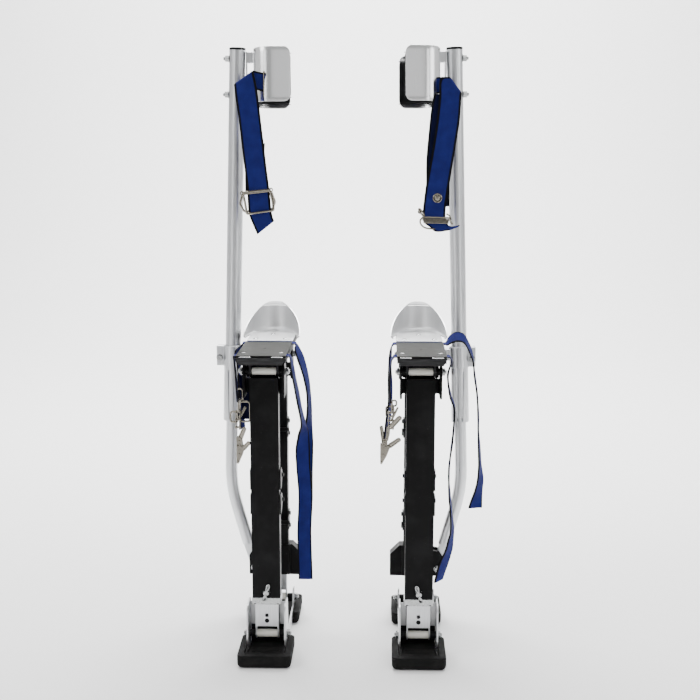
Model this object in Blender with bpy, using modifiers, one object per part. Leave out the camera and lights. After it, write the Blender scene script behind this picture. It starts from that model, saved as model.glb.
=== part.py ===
"""A pair of aluminium drywall stilts, in metres, +Z up, toes towards -Y.

Each stilt is a parallelogram: two telescoping struts stand on a floor channel and carry a foot
platform, and a leg pole on the outer side of the rear strut holds the calf band. A stilt is
modelled once, about its own centre line with +X pointing outboard, and the right stilt is its
mirror image. Only the webbing straps and their buckles differ between the two.
"""

import math

import bmesh
import bpy
from mathutils import Matrix, Vector

# Driving dimensions of the pair
STILT_X = 0.150          # centre line of each stilt from the middle of the pair
CENTRE_X, CENTRE_Y = -0.0080, 0.0115   # shift that centres the pair's box on the origin
FRONT_Y = -0.096         # front axles
REAR_Y = 0.096           # rear axles
LOWER_Z = 0.039
UPPER_Z = 0.572
FIT = 0.0003             # gap between pieces that touch

# Struts
INNER_HALF_X, INNER_HALF_Y = 0.0230, 0.0100
OUTER_HALF_X, OUTER_HALF_Y = 0.0275, 0.0140
CAVITY_HALF_X, CAVITY_HALF_Y = 0.0235, 0.0105
INNER_WALL = 0.0025
INNER_BOTTOM, INNER_TOP = 0.057, 0.555
OUTER_BOTTOM, OUTER_TOP = 0.105, 0.560
HOLE_PITCH = 0.0508      # height steps of two inches
HOLE_COUNT = 9
WING_BOLT_Z = 0.131
WING_BOLT_BORE = 0.0043

# Strut heads and pivots
HEAD_BOTTOM = 0.523
HEAD_EAR_IN, HEAD_EAR_OUT = 0.036, 0.040
HEAD_RADIUS = 0.022
BOLT_RADIUS, BOLT_BORE = 0.0040, 0.0045
BUSH_RADIUS, BUSH_HALF = 0.0080, 0.0235

# Springs
SPRING_PIN_Y = 0.068     # distance of the spring pins from the middle, front and rear
UPPER_SPRING_Z = (0.358, 0.416)
LOWER_SPRING_Z = (0.308, 0.214)
SPRING_RADIUS = 0.011

# Feet and floor channel
FOOT_HALF_X, FOOT_HEIGHT = 0.0525, 0.026
FRONT_FOOT_Y = (-0.178, -0.073)
REAR_FOOT_Y = (0.038, 0.143)
FOOT_WALL, FOOT_SOLE = 0.013, 0.008
CHANNEL_HALF_X, CHANNEL_THICK = 0.0385, 0.003

# Platform
PAN_HALF_X, PAN_THICK, PAN_TOP = 0.046, 0.003, 0.6086
PAN_Y = (-0.163, 0.149)
LIP_BOTTOM = 0.5955
PLATE_BOTTOM, PLATE_THICK = 0.6109, 0.0021
SOLE_Y = (-0.155, -0.004)
HEEL_Y = (0.011, 0.135)
PAN_EAR_IN, PAN_EAR_OUT = 0.0245, 0.0285
CUP_HALF_X, CUP_FRONT, CUP_BACK, CUP_HEIGHT = 0.056, 0.048, 0.149, 0.062
CUP_RIM_LOW = 0.005

# Leg pole
POLE_LEAN = math.radians(1.8)
POLE_X, POLE_CLAMP_Z = 0.085, 0.567
POLE_RADIUS, TUBE_RADIUS, TUBE_BORE = 0.016, 0.0127, 0.0132
POLE_BOTTOM, POLE_TOP = 0.440, 1.189
TUBE_TOP = 0.600
SLEEVE_RADIUS, SLEEVE_BORE = 0.0185, 0.0164
SLEEVE_BOTTOM, CLAMP_BOTTOM, CLAMP_TOP = 0.430, 0.545, 0.590
WING_X, WING_Z = 0.045, 0.109        # bolt that holds the pole's foot in the rear casting
FOOT_HEADING = math.radians(15.4)    # the pole's lower end leans outwards by this
BEND_RADIUS = 0.30
CASTING_BOTTOM = 0.094

# Calf band
BAND_BACK, BAND_FREE = 0.033, 0.104  # distances from the pole's centre line
BAND_HALF_Y, BAND_CORNER = 0.057, 0.035
BAND_BOTTOM, BAND_TOP, BAND_THICK = 1.077, 1.183, 0.002
BAND_TILT = math.radians(6)
PAD_THICK, PAD_DROP, PAD_HEIGHT = 0.010, -0.008, 0.085
ARM_Z = 1.170
ARM_HALF_Z = 0.011
ARM_BOLTS_Z = (1.168, 1.098)

# Webbing
WEB_THICK, FOOT_WEB_HALF, CALF_WEB_HALF = 0.0016, 0.0140, 0.0200


# ---------------------------------------------------------------- scene and materials
def clear_scene():
    for obj in list(bpy.data.objects):
        bpy.data.objects.remove(obj)


def new_collection(name):
    collection = bpy.data.collections.new(name)
    bpy.context.scene.collection.children.link(collection)
    return collection


def material(name, colour, roughness, metallic):
    made = bpy.data.materials.new(name)
    made.use_nodes = True
    shader = made.node_tree.nodes["Principled BSDF"]
    shader.inputs["Base Color"].default_value = (*colour, 1)
    shader.inputs["Roughness"].default_value = roughness
    shader.inputs["Metallic"].default_value = metallic
    return made


clear_scene()
PARTS = new_collection("drywall_stilts")
BLACK_PAINT = material("black_paint", (0.012, 0.012, 0.013), 0.45, 0.0)
ALUMINIUM = material("satin_aluminium", (0.62, 0.63, 0.64), 0.35, 1.0)
POLISHED = material("polished_aluminium", (0.80, 0.81, 0.82), 0.12, 1.0)
BRUSHED = material("brushed_plate", (0.36, 0.35, 0.34), 0.38, 1.0)
ZINC = material("zinc_steel", (0.55, 0.56, 0.56), 0.30, 1.0)
NYLON = material("cream_nylon", (0.80, 0.76, 0.66), 0.45, 0.0)
RUBBER = material("black_rubber", (0.010, 0.010, 0.010), 0.80, 0.0)
FOAM = material("black_foam", (0.008, 0.008, 0.008), 0.90, 0.0)
WEBBING = material("blue_webbing", (0.010, 0.025, 0.180), 0.75, 0.0)


# ---------------------------------------------------------------- shapes
def from_bmesh(bm):
    mesh = bpy.data.meshes.new("shape")
    bm.to_mesh(mesh)
    bm.free()
    obj = bpy.data.objects.new("shape", mesh)
    PARTS.objects.link(obj)
    return obj


def box(low, high, rounding=0.0, segments=2):
    low, high = Vector(low), Vector(high)
    bm = bmesh.new()
    bmesh.ops.create_cube(bm, size=1)
    bmesh.ops.scale(bm, vec=high - low, verts=bm.verts)
    bmesh.ops.translate(bm, vec=(low + high) / 2, verts=bm.verts)
    if rounding:
        bmesh.ops.bevel(bm, geom=list(bm.edges), offset=rounding, segments=segments,
                        profile=0.5, affect="EDGES")
    return from_bmesh(bm)


def rod(start, end, radius, sides=12, end_radius=None):
    """A round bar, or a taper where end_radius is given."""
    start, end = Vector(start), Vector(end)
    run = end - start
    bm = bmesh.new()
    bmesh.ops.create_cone(bm, cap_ends=True, segments=sides, radius1=radius,
                          radius2=radius if end_radius is None else end_radius, depth=run.length)
    turn = Vector((0, 0, 1)).rotation_difference(run).to_matrix().to_4x4()
    bmesh.ops.transform(bm, matrix=Matrix.Translation((start + end) / 2) @ turn, verts=bm.verts)
    return from_bmesh(bm)


def across(x_from, x_to, y, z, radius, sides=12):
    """A round bar along X."""
    return rod((x_from, y, z), (x_to, y, z), radius, sides)


def evaluated_mesh(obj):
    graph = bpy.context.evaluated_depsgraph_get()
    return bpy.data.meshes.new_from_object(obj.evaluated_get(graph))


def plate(outline, axis, low, high):
    """A flat outline extruded along an axis. An X plate's outline is in (Y, Z), a Y plate's in (X, Z)."""
    curve = bpy.data.curves.new("outline", "CURVE")
    curve.dimensions = "2D"
    curve.fill_mode = "BOTH"
    curve.extrude = (high - low) / 2
    spline = curve.splines.new("POLY")
    spline.points.add(len(outline) - 1)
    for point, (u, v) in zip(spline.points, outline):
        point.co = (u, v, 0, 1)
    spline.use_cyclic_u = True
    drawn = bpy.data.objects.new("outline", curve)
    PARTS.objects.link(drawn)
    bpy.context.view_layer.update()
    mesh = evaluated_mesh(drawn)
    middle = (low + high) / 2
    if axis == "X":
        turn = Matrix(((0, 0, 1, middle), (1, 0, 0, 0), (0, 1, 0, 0), (0, 0, 0, 1)))
    else:
        turn = Matrix(((1, 0, 0, 0), (0, 0, -1, middle), (0, 1, 0, 0), (0, 0, 0, 1)))
    bm = bmesh.new()
    bm.from_mesh(mesh)
    bmesh.ops.remove_doubles(bm, verts=bm.verts, dist=1e-6)
    bmesh.ops.transform(bm, matrix=turn, verts=bm.verts)
    bpy.data.objects.remove(drawn)
    bpy.data.meshes.remove(mesh)
    return from_bmesh(bm)


def arc(centre, radius, start, end, steps=6):
    """Points of an arc in a plane, with angles in degrees."""
    points = []
    for i in range(steps + 1):
        angle = math.radians(start + (end - start) * i / steps)
        points.append((centre[0] + radius * math.cos(angle), centre[1] + radius * math.sin(angle)))
    return points


def fused(base, added=(), cut=()):
    """Joins pieces to the base, then cuts others out of it, and removes them all."""
    for other in added:
        modifier = base.modifiers.new("join", "BOOLEAN")
        modifier.operation = "UNION"
        modifier.object = other
    for other in cut:
        modifier = base.modifiers.new("cut", "BOOLEAN")
        modifier.operation = "DIFFERENCE"
        modifier.object = other
    bpy.context.view_layer.update()
    base.data = evaluated_mesh(base)
    base.modifiers.clear()
    for other in (*added, *cut):
        bpy.data.objects.remove(other)
    return base


def both_sides(make, *distances):
    """make(low, high) for a pair of distances on +X and on -X."""
    near, far = distances
    return [make(near, far), make(-far, -near)]


def sheet_solid(rows, thickness):
    """An open grid of points given a thickness by Solidify, half on each side."""
    bm = bmesh.new()
    grid = [[bm.verts.new(point) for point in row] for row in rows]
    for lower, upper in zip(grid, grid[1:]):
        for i in range(len(lower) - 1):
            bm.faces.new((lower[i], lower[i + 1], upper[i + 1], upper[i]))
    obj = from_bmesh(bm)
    modifier = obj.modifiers.new("thickness", "SOLIDIFY")
    modifier.thickness = thickness
    modifier.offset = 0
    bpy.context.view_layer.update()
    obj.data = evaluated_mesh(obj)
    obj.modifiers.clear()
    return obj


def smooth_route(points, steps):
    """Catmull-Rom through the given points, each a tuple of numbers."""
    route = []
    last = len(points) - 1
    for i in range(last):
        before, start = points[max(i - 1, 0)], points[i]
        end, after = points[i + 1], points[min(i + 2, last)]
        for k in range(steps):
            t = k / steps
            route.append([
                0.5 * (2 * b + (c - a) * t + (2 * a - 5 * b + 4 * c - d) * t**2
                       + (3 * b - a - 3 * c + d) * t**3)
                for a, b, c, d in zip(before, start, end, after)])
    route.append(list(points[last]))
    return route


def ribbon(points, half_width, steps=2):
    """Webbing along a route of (x, y, z, turn): at turn 0 its width lies along X, at 90 along Y."""
    route = smooth_route(points, steps)
    centres = [Vector(p[:3]) for p in route]
    bm = bmesh.new()
    loops = []
    for i, centre in enumerate(centres):
        ahead = centres[min(i + 1, len(centres) - 1)] - centres[max(i - 1, 0)]
        turn = math.radians(route[i][3])
        across_web = Vector((math.cos(turn), math.sin(turn), 0))
        normal = ahead.cross(across_web).normalized()
        wide, thick = across_web * half_width, normal * WEB_THICK / 2
        loops.append([bm.verts.new(centre + corner)
                      for corner in (wide + thick, wide - thick, -wide - thick, thick - wide)])
    for first, second in zip(loops, loops[1:]):
        for j in range(4):
            k = (j + 1) % 4
            bm.faces.new((first[j], first[k], second[k], second[j]))
    bm.faces.new(loops[0])
    bm.faces.new(reversed(loops[-1]))
    bmesh.ops.recalc_face_normals(bm, faces=bm.faces)
    return from_bmesh(bm)


# ---------------------------------------------------------------- feet and floor channel
def rubber_foot(y_range, open_front):
    y_low, y_high = y_range
    pocket_low = y_low - 0.02 if open_front else y_low + FOOT_WALL
    pocket_high = y_high - FOOT_WALL if open_front else y_high + 0.02
    pocket_half = CHANNEL_HALF_X + 0.001
    block = box((-FOOT_HALF_X, y_low, 0), (FOOT_HALF_X, y_high, FOOT_HEIGHT), rounding=0.006)
    pocket = box((-pocket_half, pocket_low, FOOT_SOLE), (pocket_half, pocket_high, 0.05))
    return fused(block, cut=[pocket])


def channel_side(x_low, x_high):
    front, rear = FRONT_FOOT_Y[0] + FOOT_WALL + 0.0005, REAR_FOOT_Y[1] - FOOT_WALL - 0.0005
    floor, flange = FOOT_SOLE + FIT, 0.028
    tall_top, corner = 0.107, 0.012
    outline = [(front, floor), (rear, floor), (rear, flange), (REAR_Y + 0.024, flange)]
    outline += arc((REAR_Y, LOWER_Z), HEAD_RADIUS, 15, 165)
    outline += [(REAR_Y - 0.024, flange), (FRONT_Y + 0.040, flange)]
    outline += arc((FRONT_Y + 0.028 - corner, tall_top - corner), corner, 0, 90, 3)
    outline += arc((FRONT_Y - 0.026 + corner, tall_top - corner), corner, 90, 180, 3)
    outline += [(FRONT_Y - 0.032, flange + 0.012), (FRONT_Y - 0.045, flange), (front, flange)]
    return plate(outline, "X", x_low, x_high)


def floor_channel():
    front, rear = FRONT_FOOT_Y[0] + FOOT_WALL + 0.0005, REAR_FOOT_Y[1] - FOOT_WALL - 0.0005
    floor = FOOT_SOLE + FIT
    base = box((-CHANNEL_HALF_X + 0.001, front, floor),
               (CHANNEL_HALF_X - 0.001, rear, floor + CHANNEL_THICK))
    sides = both_sides(channel_side, CHANNEL_HALF_X - CHANNEL_THICK, CHANNEL_HALF_X)
    bores = [across(-0.05, 0.05, y, LOWER_Z, BOLT_BORE) for y in (FRONT_Y, REAR_Y)]
    return fused(base, added=sides, cut=bores)


def hex_head(x_low, x_high, y, z, radius=0.0075):
    return across(x_low, x_high, y, z, radius, sides=6)


def pivot_bolt(y, z, ear_face, spacer, with_bush, reach_out=0.0):
    """A bolt along X with a head, a nut, its spacers between the ears, and its bush where asked."""
    grip = ear_face + FIT
    shank = across(-grip - 0.009, grip + 0.009 + reach_out, y, z, BOLT_RADIUS)
    added = [hex_head(-grip - 0.0055, -grip, y, z), across(-spacer[1], -spacer[0], y, z, 0.0068),
             across(spacer[0], spacer[1], y, z, 0.0068)]
    if not reach_out:
        added.append(hex_head(grip, grip + 0.0055, y, z))
    if with_bush:
        added.append(across(-BUSH_HALF, BUSH_HALF, y, z, BUSH_RADIUS))
    return fused(shank, added=added)


def bush(y, z):
    return fused(across(-BUSH_HALF, BUSH_HALF, y, z, BUSH_RADIUS),
                 cut=[across(-0.03, 0.03, y, z, BOLT_BORE)])


# ---------------------------------------------------------------- struts
def strut_box(y, half_x, half_y, low, high):
    return box((-half_x, y - half_y, low), (half_x, y + half_y, high))


def inner_strut(y):
    def lug(x_low, x_high):
        outline = arc((y, LOWER_Z), INNER_HALF_Y, 180, 360)
        outline += [(y + INNER_HALF_Y, 0.080), (y - INNER_HALF_Y, 0.080)]
        return plate(outline, "X", x_low, x_high)

    tube = strut_box(y, INNER_HALF_X, INNER_HALF_Y, INNER_BOTTOM, INNER_TOP)
    hollow = strut_box(y, INNER_HALF_X - INNER_WALL, INNER_HALF_Y - INNER_WALL, 0.02, 0.60)
    bush_bore = across(-0.03, 0.03, y, LOWER_Z, BUSH_RADIUS + FIT)
    holes = []
    for i in range(HOLE_COUNT):
        z = WING_BOLT_Z + (i - 1) * HOLE_PITCH
        holes.append(rod((0, y - 0.02, z), (0, y, z), 0.004, sides=8))
    lugs = both_sides(lug, INNER_HALF_X - INNER_WALL, INNER_HALF_X)
    return fused(tube, added=lugs, cut=[hollow, bush_bore, *holes])


def head_ear(y):
    def ear(x_low, x_high):
        outline = arc((y, UPPER_Z), HEAD_RADIUS, 0, 180, 8)
        outline += [(y - HEAD_RADIUS, HEAD_BOTTOM), (y + HEAD_RADIUS, HEAD_BOTTOM)]
        return plate(outline, "X", x_low, x_high)
    return ear


def spring_lug(y, pin_y, pin_z, bolted):
    """Two cheeks on the strut's sides that carry a spring's cross pin, with bolt heads where asked."""
    toward = math.copysign(1, pin_y - y)

    def cheek(x_low, x_high):
        outline = [(y - toward * 0.008, pin_z - 0.020), (y + toward * 0.012, pin_z - 0.020),
                   (pin_y + toward * 0.002, pin_z - 0.007), (pin_y + toward * 0.007, pin_z),
                   (pin_y + toward * 0.002, pin_z + 0.007), (y + toward * 0.012, pin_z + 0.020),
                   (y - toward * 0.008, pin_z + 0.020)]
        return plate(outline if toward > 0 else outline[::-1], "X", x_low, x_high)

    made = both_sides(cheek, OUTER_HALF_X - 0.0005, OUTER_HALF_X + 0.0025)
    made.append(across(-0.0330, 0.0330, pin_y, pin_z, BOLT_RADIUS, sides=10))
    if bolted:
        for z in (pin_z - 0.0133, pin_z + 0.0133):
            made += both_sides(lambda low, high: across(low, high, y + toward * 0.003, z, 0.0045, 8),
                               OUTER_HALF_X + 0.0010, OUTER_HALF_X + 0.0052)
    return made


def outer_strut(y, pins, pin_y, web_side, bolted):
    tube = strut_box(y, OUTER_HALF_X, OUTER_HALF_Y, OUTER_BOTTOM, OUTER_TOP)
    web_y = y + web_side * OUTER_HALF_Y
    web = box((-HEAD_EAR_OUT + 0.001, web_y - 0.0015, HEAD_BOTTOM),
              (HEAD_EAR_OUT - 0.001, web_y + 0.0015, 0.556))
    ears = both_sides(head_ear(y), HEAD_EAR_IN, HEAD_EAR_OUT)
    lugs = []
    for pin_z in pins:
        lugs += spring_lug(y, pin_y, pin_z, bolted)
    notches = [rod((side * 0.0320, y - 0.03, HEAD_BOTTOM), (side * 0.0320, y + 0.03, HEAD_BOTTOM),
                   0.0042, sides=12) for side in (-1, 1)]
    bolt_bore = rod((0, y - 0.03, WING_BOLT_Z), (0, y, WING_BOLT_Z), WING_BOLT_BORE)
    ear_bore = across(-0.05, 0.05, y, UPPER_Z, BOLT_BORE)
    clear = strut_box(y, CAVITY_HALF_X, CAVITY_HALF_Y, 0.02, 0.70)
    return tube, [web, *ears, *lugs], [*notches, bolt_bore, ear_bore, clear]


def front_outer_strut():
    pins = (UPPER_SPRING_Z[0], LOWER_SPRING_Z[0])
    tube, added, cut = outer_strut(FRONT_Y, pins, -SPRING_PIN_Y, 1, False)
    return fused(tube, added, cut)


def rear_outer_strut():
    """The rear strut ends in a casting whose inner wing is solid and whose outer wing is a clevis."""
    pins = (UPPER_SPRING_Z[1], LOWER_SPRING_Z[1])
    tube, added, cut = outer_strut(REAR_Y, pins, SPRING_PIN_Y, -1, True)
    top = 0.161
    collar = box((-0.031, REAR_Y - 0.0175, CASTING_BOTTOM), (0.031, REAR_Y + 0.0175, top),
                 rounding=0.002, segments=1)
    inner_wing = plate([(-0.056, CASTING_BOTTOM), (-0.029, CASTING_BOTTOM), (-0.029, top),
                        (-0.036, top), (-0.056, 0.141)], "Y", REAR_Y - 0.014, REAR_Y + 0.014)
    outer_wing = plate([(0.029, CASTING_BOTTOM), (0.056, CASTING_BOTTOM), (0.056, 0.136),
                        (0.048, 0.148), (0.029, 0.152)], "Y", REAR_Y - 0.014, REAR_Y + 0.014)
    slot = box((0.0325, REAR_Y - 0.0085, 0.08), (0.07, REAR_Y + 0.0085, 0.17))
    foot_bore = rod((WING_X, REAR_Y - 0.03, WING_Z), (WING_X, REAR_Y + 0.03, WING_Z), BOLT_BORE)
    return fused(tube, [collar, inner_wing, outer_wing, *added], [slot, foot_bore, *cut])


def front_wing_bolt():
    """A wing screw with an upright wing on each side of its hub."""
    face = FRONT_Y - OUTER_HALF_Y - FIT
    tip = FRONT_Y - INNER_HALF_Y - FIT
    shank = rod((0, face - 0.002, WING_BOLT_Z), (0, tip, WING_BOLT_Z), 0.0040)
    hub = rod((0, face - 0.009, WING_BOLT_Z), (0, face, WING_BOLT_Z), 0.0065, end_radius=0.0078)
    wings = []
    for side in (-1, 1):
        root = (0, face - 0.005, WING_BOLT_Z)
        tip_point = (-side * 0.004, face - 0.011, WING_BOLT_Z + side * 0.0165)
        wings.append(rod(root, tip_point, 0.0032, sides=8, end_radius=0.0026))
    return fused(shank, [hub, *wings])


def spring_body(z_pair):
    """The outline of a coil spring on its rod, between the front and the rear cross pin."""
    front = Vector((0, -SPRING_PIN_Y, z_pair[0]))
    rear = Vector((0, SPRING_PIN_Y, z_pair[1]))
    along = (rear - front).normalized()
    gap = BOLT_RADIUS + 0.001
    shaft = rod(front + along * gap, rear - along * gap, 0.004, sides=10)
    coil = rod(front + along * 0.016, rear - along * 0.016, SPRING_RADIUS, sides=14)
    return fused(shaft, [coil])


# ---------------------------------------------------------------- platform
def platform_pan():
    floor = PAN_TOP - PAN_THICK
    top = box((-PAN_HALF_X, PAN_Y[0], floor), (PAN_HALF_X, PAN_Y[1], PAN_TOP))
    lip = plate([(-PAN_HALF_X + 0.006, LIP_BOTTOM), (PAN_HALF_X - 0.006, LIP_BOTTOM),
                 (PAN_HALF_X, floor + 0.001), (-PAN_HALF_X, floor + 0.001)],
                "Y", PAN_Y[0], PAN_Y[0] + PAN_THICK)
    sides = [box((low, -0.150, 0.5975), (high, PAN_Y[1], PAN_TOP - 0.001))
             for low, high in ((PAN_HALF_X - 0.0025, PAN_HALF_X), (-PAN_HALF_X, 0.0025 - PAN_HALF_X))]
    ears = []
    for y in (FRONT_Y, REAR_Y):
        outline = arc((y, UPPER_Z), 0.0095, 180, 360)
        outline += [(y + 0.016, floor + 0.001), (y - 0.016, floor + 0.001)]
        for low, high in ((PAN_EAR_IN, PAN_EAR_OUT), (-PAN_EAR_OUT, -PAN_EAR_IN)):
            ears.append(plate(outline, "X", low, high))
    bores = [across(-0.05, 0.05, y, UPPER_Z, BOLT_BORE) for y in (FRONT_Y, REAR_Y)]
    slots = []
    for side in (-1, 1):
        slots.append(box((side * 0.030 - 0.010, -0.1575, 0.60), (side * 0.030 + 0.010, -0.1505, 0.62),
                         rounding=0.0033))
    return fused(top, [lip, *sides, *ears], [*bores, *slots])


def sole_plate():
    """The brushed plate under the ball of the foot, on four bosses that leave room for the straps."""
    top = box((-PAN_HALF_X - 0.0005, SOLE_Y[0], PLATE_BOTTOM),
              (PAN_HALF_X + 0.0005, SOLE_Y[1], PLATE_BOTTOM + PLATE_THICK))
    bosses = [rod((x, y, PAN_TOP + FIT), (x, y, PLATE_BOTTOM + 0.001), 0.004, sides=10)
              for x in (-0.036, 0.036) for y in (-0.112, -0.030)]
    hole = rod((0, -0.080, 0.60), (0, -0.080, 0.63), 0.0026, sides=12)
    return fused(top, bosses, [hole])


def cup_rim(share):
    """The height of the bowl's rim, from its back (0) to a front end (1): a pointed arch."""
    return CUP_RIM_LOW + (CUP_HEIGHT - CUP_RIM_LOW) * (1 - share) * (1 + 1.1 * share * (1 - share))


def heel_cup():
    """A polished bowl round the heel on a plate that slides along the pan."""
    base = box((-PAN_HALF_X, HEEL_Y[0], PLATE_BOTTOM),
               (PAN_HALF_X, HEEL_Y[1], PLATE_BOTTOM + 0.0025))
    feet = [rod((x, y, PAN_TOP + FIT), (x, y, PLATE_BOTTOM + 0.001), 0.004, sides=10)
            for x in (-0.030, 0.030) for y in (0.060, 0.115)]
    seat = PLATE_BOTTOM + 0.0013
    # Each row: how far the wall stands out, and its share of the way up to the rim.
    rows_of_wall = ((0.80, 0.0), (0.93, 0.03), (0.985, 0.12), (1.0, 0.35), (0.99, 0.60),
                    (0.965, 0.80), (1.0, 1.0))
    columns = 16
    rows = []
    for out, rise in rows_of_wall:
        row = []
        for i in range(columns + 1):
            share = 2 * i / columns - 1
            angle = share * math.pi / 2
            rim = cup_rim(abs(share))
            depth = CUP_BACK - CUP_FRONT
            x = CUP_HALF_X * out * math.sin(angle)
            y = CUP_FRONT + depth * out * math.cos(angle) ** 0.85
            row.append((x, y - 0.001, seat + rise * rim))
        rows.append(row)
    cup = sheet_solid(rows, 0.0020)
    return fused(base, [cup, *feet])


# ---------------------------------------------------------------- leg pole
def pole_point(z):
    return Vector((POLE_X - (z - POLE_CLAMP_Z) * math.tan(POLE_LEAN), REAR_Y, z))


def pole_foot_point(z):
    return Vector((WING_X + (z - WING_Z) * math.tan(FOOT_HEADING), REAR_Y, z))


def lower_pole_route():
    """Up from the casting, round one gentle bend, and straight up inside the upper pole."""
    crossing = ((POLE_X + POLE_CLAMP_Z * math.tan(POLE_LEAN) - WING_X + WING_Z * math.tan(FOOT_HEADING))
                / (math.tan(FOOT_HEADING) + math.tan(POLE_LEAN)))
    turn = FOOT_HEADING + POLE_LEAN
    reach = BEND_RADIUS * math.tan(turn / 2)
    at = pole_foot_point(crossing) - reach * Vector((math.sin(FOOT_HEADING), 0, math.cos(FOOT_HEADING)))
    route = [pole_foot_point(0.160), at.copy()]
    steps = 8
    for i in range(steps):
        heading = FOOT_HEADING - turn * (i + 0.5) / steps
        at = at + BEND_RADIUS * turn / steps * Vector((math.sin(heading), 0, math.cos(heading)))
        route.append(at.copy())
    route.append(pole_point(TUBE_TOP))
    return route


def bent_bar(route, radius, resolution):
    curve = bpy.data.curves.new("bar", "CURVE")
    curve.dimensions = "3D"
    curve.bevel_depth = radius
    curve.bevel_resolution = resolution
    curve.use_fill_caps = True
    spline = curve.splines.new("POLY")
    spline.points.add(len(route) - 1)
    for point, place in zip(spline.points, route):
        point.co = (*place, 1)
    drawn = bpy.data.objects.new("bar", curve)
    PARTS.objects.link(drawn)
    bpy.context.view_layer.update()
    bm = bmesh.new()
    bm.from_mesh(evaluated_mesh(drawn))
    bmesh.ops.remove_doubles(bm, verts=bm.verts, dist=1e-6)
    bmesh.ops.recalc_face_normals(bm, faces=bm.faces)
    bpy.data.objects.remove(drawn)
    return from_bmesh(bm)


def lower_pole():
    """The bent tube, its flattened foot and the bolt that holds the foot in the clevis."""
    tube = bent_bar(lower_pole_route(), TUBE_RADIUS, 2)
    side = Vector((math.cos(FOOT_HEADING), 0, -math.sin(FOOT_HEADING)))
    corners = [pole_foot_point(0.099) - side * 0.008, pole_foot_point(0.099) + side * 0.007,
               pole_foot_point(0.172) + side * 0.009, pole_foot_point(0.172) - side * 0.009]
    tang = plate([(p.x, p.z) for p in corners], "Y", REAR_Y - 0.008, REAR_Y + 0.008)
    shank = rod((WING_X, REAR_Y - 0.0215, WING_Z), (WING_X, REAR_Y + 0.0215, WING_Z), BOLT_RADIUS)
    heads = [rod((WING_X, REAR_Y + a, WING_Z), (WING_X, REAR_Y + b, WING_Z), 0.0065, sides=6)
             for a, b in ((-0.0195, -0.0143), (0.0143, 0.0195))]
    return fused(tube, [tang, shank, *heads])


def pole_clamp():
    """A slotted sleeve round the pole, a split clamp with its bolt, and the lug on the rear pivot."""
    sleeve = rod(pole_point(SLEEVE_BOTTOM), pole_point(CLAMP_TOP), SLEEVE_RADIUS, sides=24)
    middle = pole_point((CLAMP_BOTTOM + CLAMP_TOP) / 2).x
    outer_lug = box((middle + 0.012, REAR_Y - 0.010, CLAMP_BOTTOM + 0.002),
                    (middle + 0.0335, REAR_Y + 0.010, CLAMP_TOP - 0.001), rounding=0.002, segments=1)
    lug_x = middle + 0.0265
    clamp_bolt = rod((lug_x, REAR_Y - 0.0165, 0.564), (lug_x, REAR_Y + 0.0165, 0.564), 0.0055, sides=12)
    inner_lug = box((HEAD_EAR_OUT + 0.0012, REAR_Y - 0.011, UPPER_Z - 0.012),
                    (middle - 0.012, REAR_Y + 0.011, UPPER_Z + 0.012), rounding=0.002, segments=1)
    bore = rod(pole_point(0.40), pole_point(0.62), SLEEVE_BORE, sides=24)
    slot = box((middle - 0.0035, REAR_Y - 0.03, 0.40), (middle + 0.0095, REAR_Y, CLAMP_BOTTOM))
    split = box((middle + 0.010, REAR_Y - 0.001, 0.40), (middle + 0.05, REAR_Y + 0.001, 0.555))
    pivot_bore = across(0.035, 0.0625, REAR_Y, UPPER_Z, BOLT_BORE)
    return fused(sleeve, [outer_lug, inner_lug, clamp_bolt], [bore, slot, split, pivot_bore])


def upper_pole():
    """The outer tube of the leg pole, closed by a cap at its top."""
    tube = rod(pole_point(POLE_BOTTOM), pole_point(POLE_TOP), POLE_RADIUS, sides=24)
    bore = rod(pole_point(POLE_BOTTOM - 0.02), pole_point(POLE_TOP - 0.02), TUBE_BORE, sides=24)
    bolts = [across(pole_point(z).x + 0.010, pole_point(z).x + POLE_RADIUS + 0.0055, REAR_Y, z, 0.0058, 6)
             for z in ARM_BOLTS_Z]
    return fused(tube, bolts, [bore])


# ---------------------------------------------------------------- calf band
def band_plan(back, free, half_y, corner, steps=5):
    """The band's plan from one free end round the back to the other, as distances from the pole."""
    plan = [(-free, -half_y), (-(free + back + corner) / 2, -half_y)]
    plan += arc((-back - corner, -half_y + corner), corner, -90, 0, steps)
    plan += arc((-back - corner, half_y - corner), corner, 0, 90, steps)
    plan += [(-(free + back + corner) / 2, half_y), (-free, half_y)]
    return plan


def tilted(obj):
    """Leans a piece of the calf band about the cross axis through its arm."""
    pivot = pole_point(ARM_Z)
    turn = Matrix.Translation(pivot) @ Matrix.Rotation(-BAND_TILT, 4, "X") @ Matrix.Translation(-pivot)
    obj.data.transform(turn)
    return obj


def calf_band():
    """A bent sheet whose free ends have rounded corners, drawn in towards the top and the bottom."""
    plan = band_plan(BAND_BACK, BAND_FREE, BAND_HALF_Y, BAND_CORNER)
    centre_x = pole_point(ARM_Z).x
    rounding = 0.012
    rows = []
    for level in (0, 0.03, 0.11, 0.89, 0.97, 1):
        z = BAND_BOTTOM + (BAND_TOP - BAND_BOTTOM) * level
        edge = min(z - BAND_BOTTOM, BAND_TOP - z, rounding)
        drawn_in = rounding - math.sqrt(rounding**2 - (rounding - edge) ** 2)
        row = [[centre_x + x, REAR_Y + y, z] for x, y in plan]
        row[0][0] += drawn_in
        row[-1][0] += drawn_in
        rows.append(row)
    return tilted(sheet_solid(rows, BAND_THICK))


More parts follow.
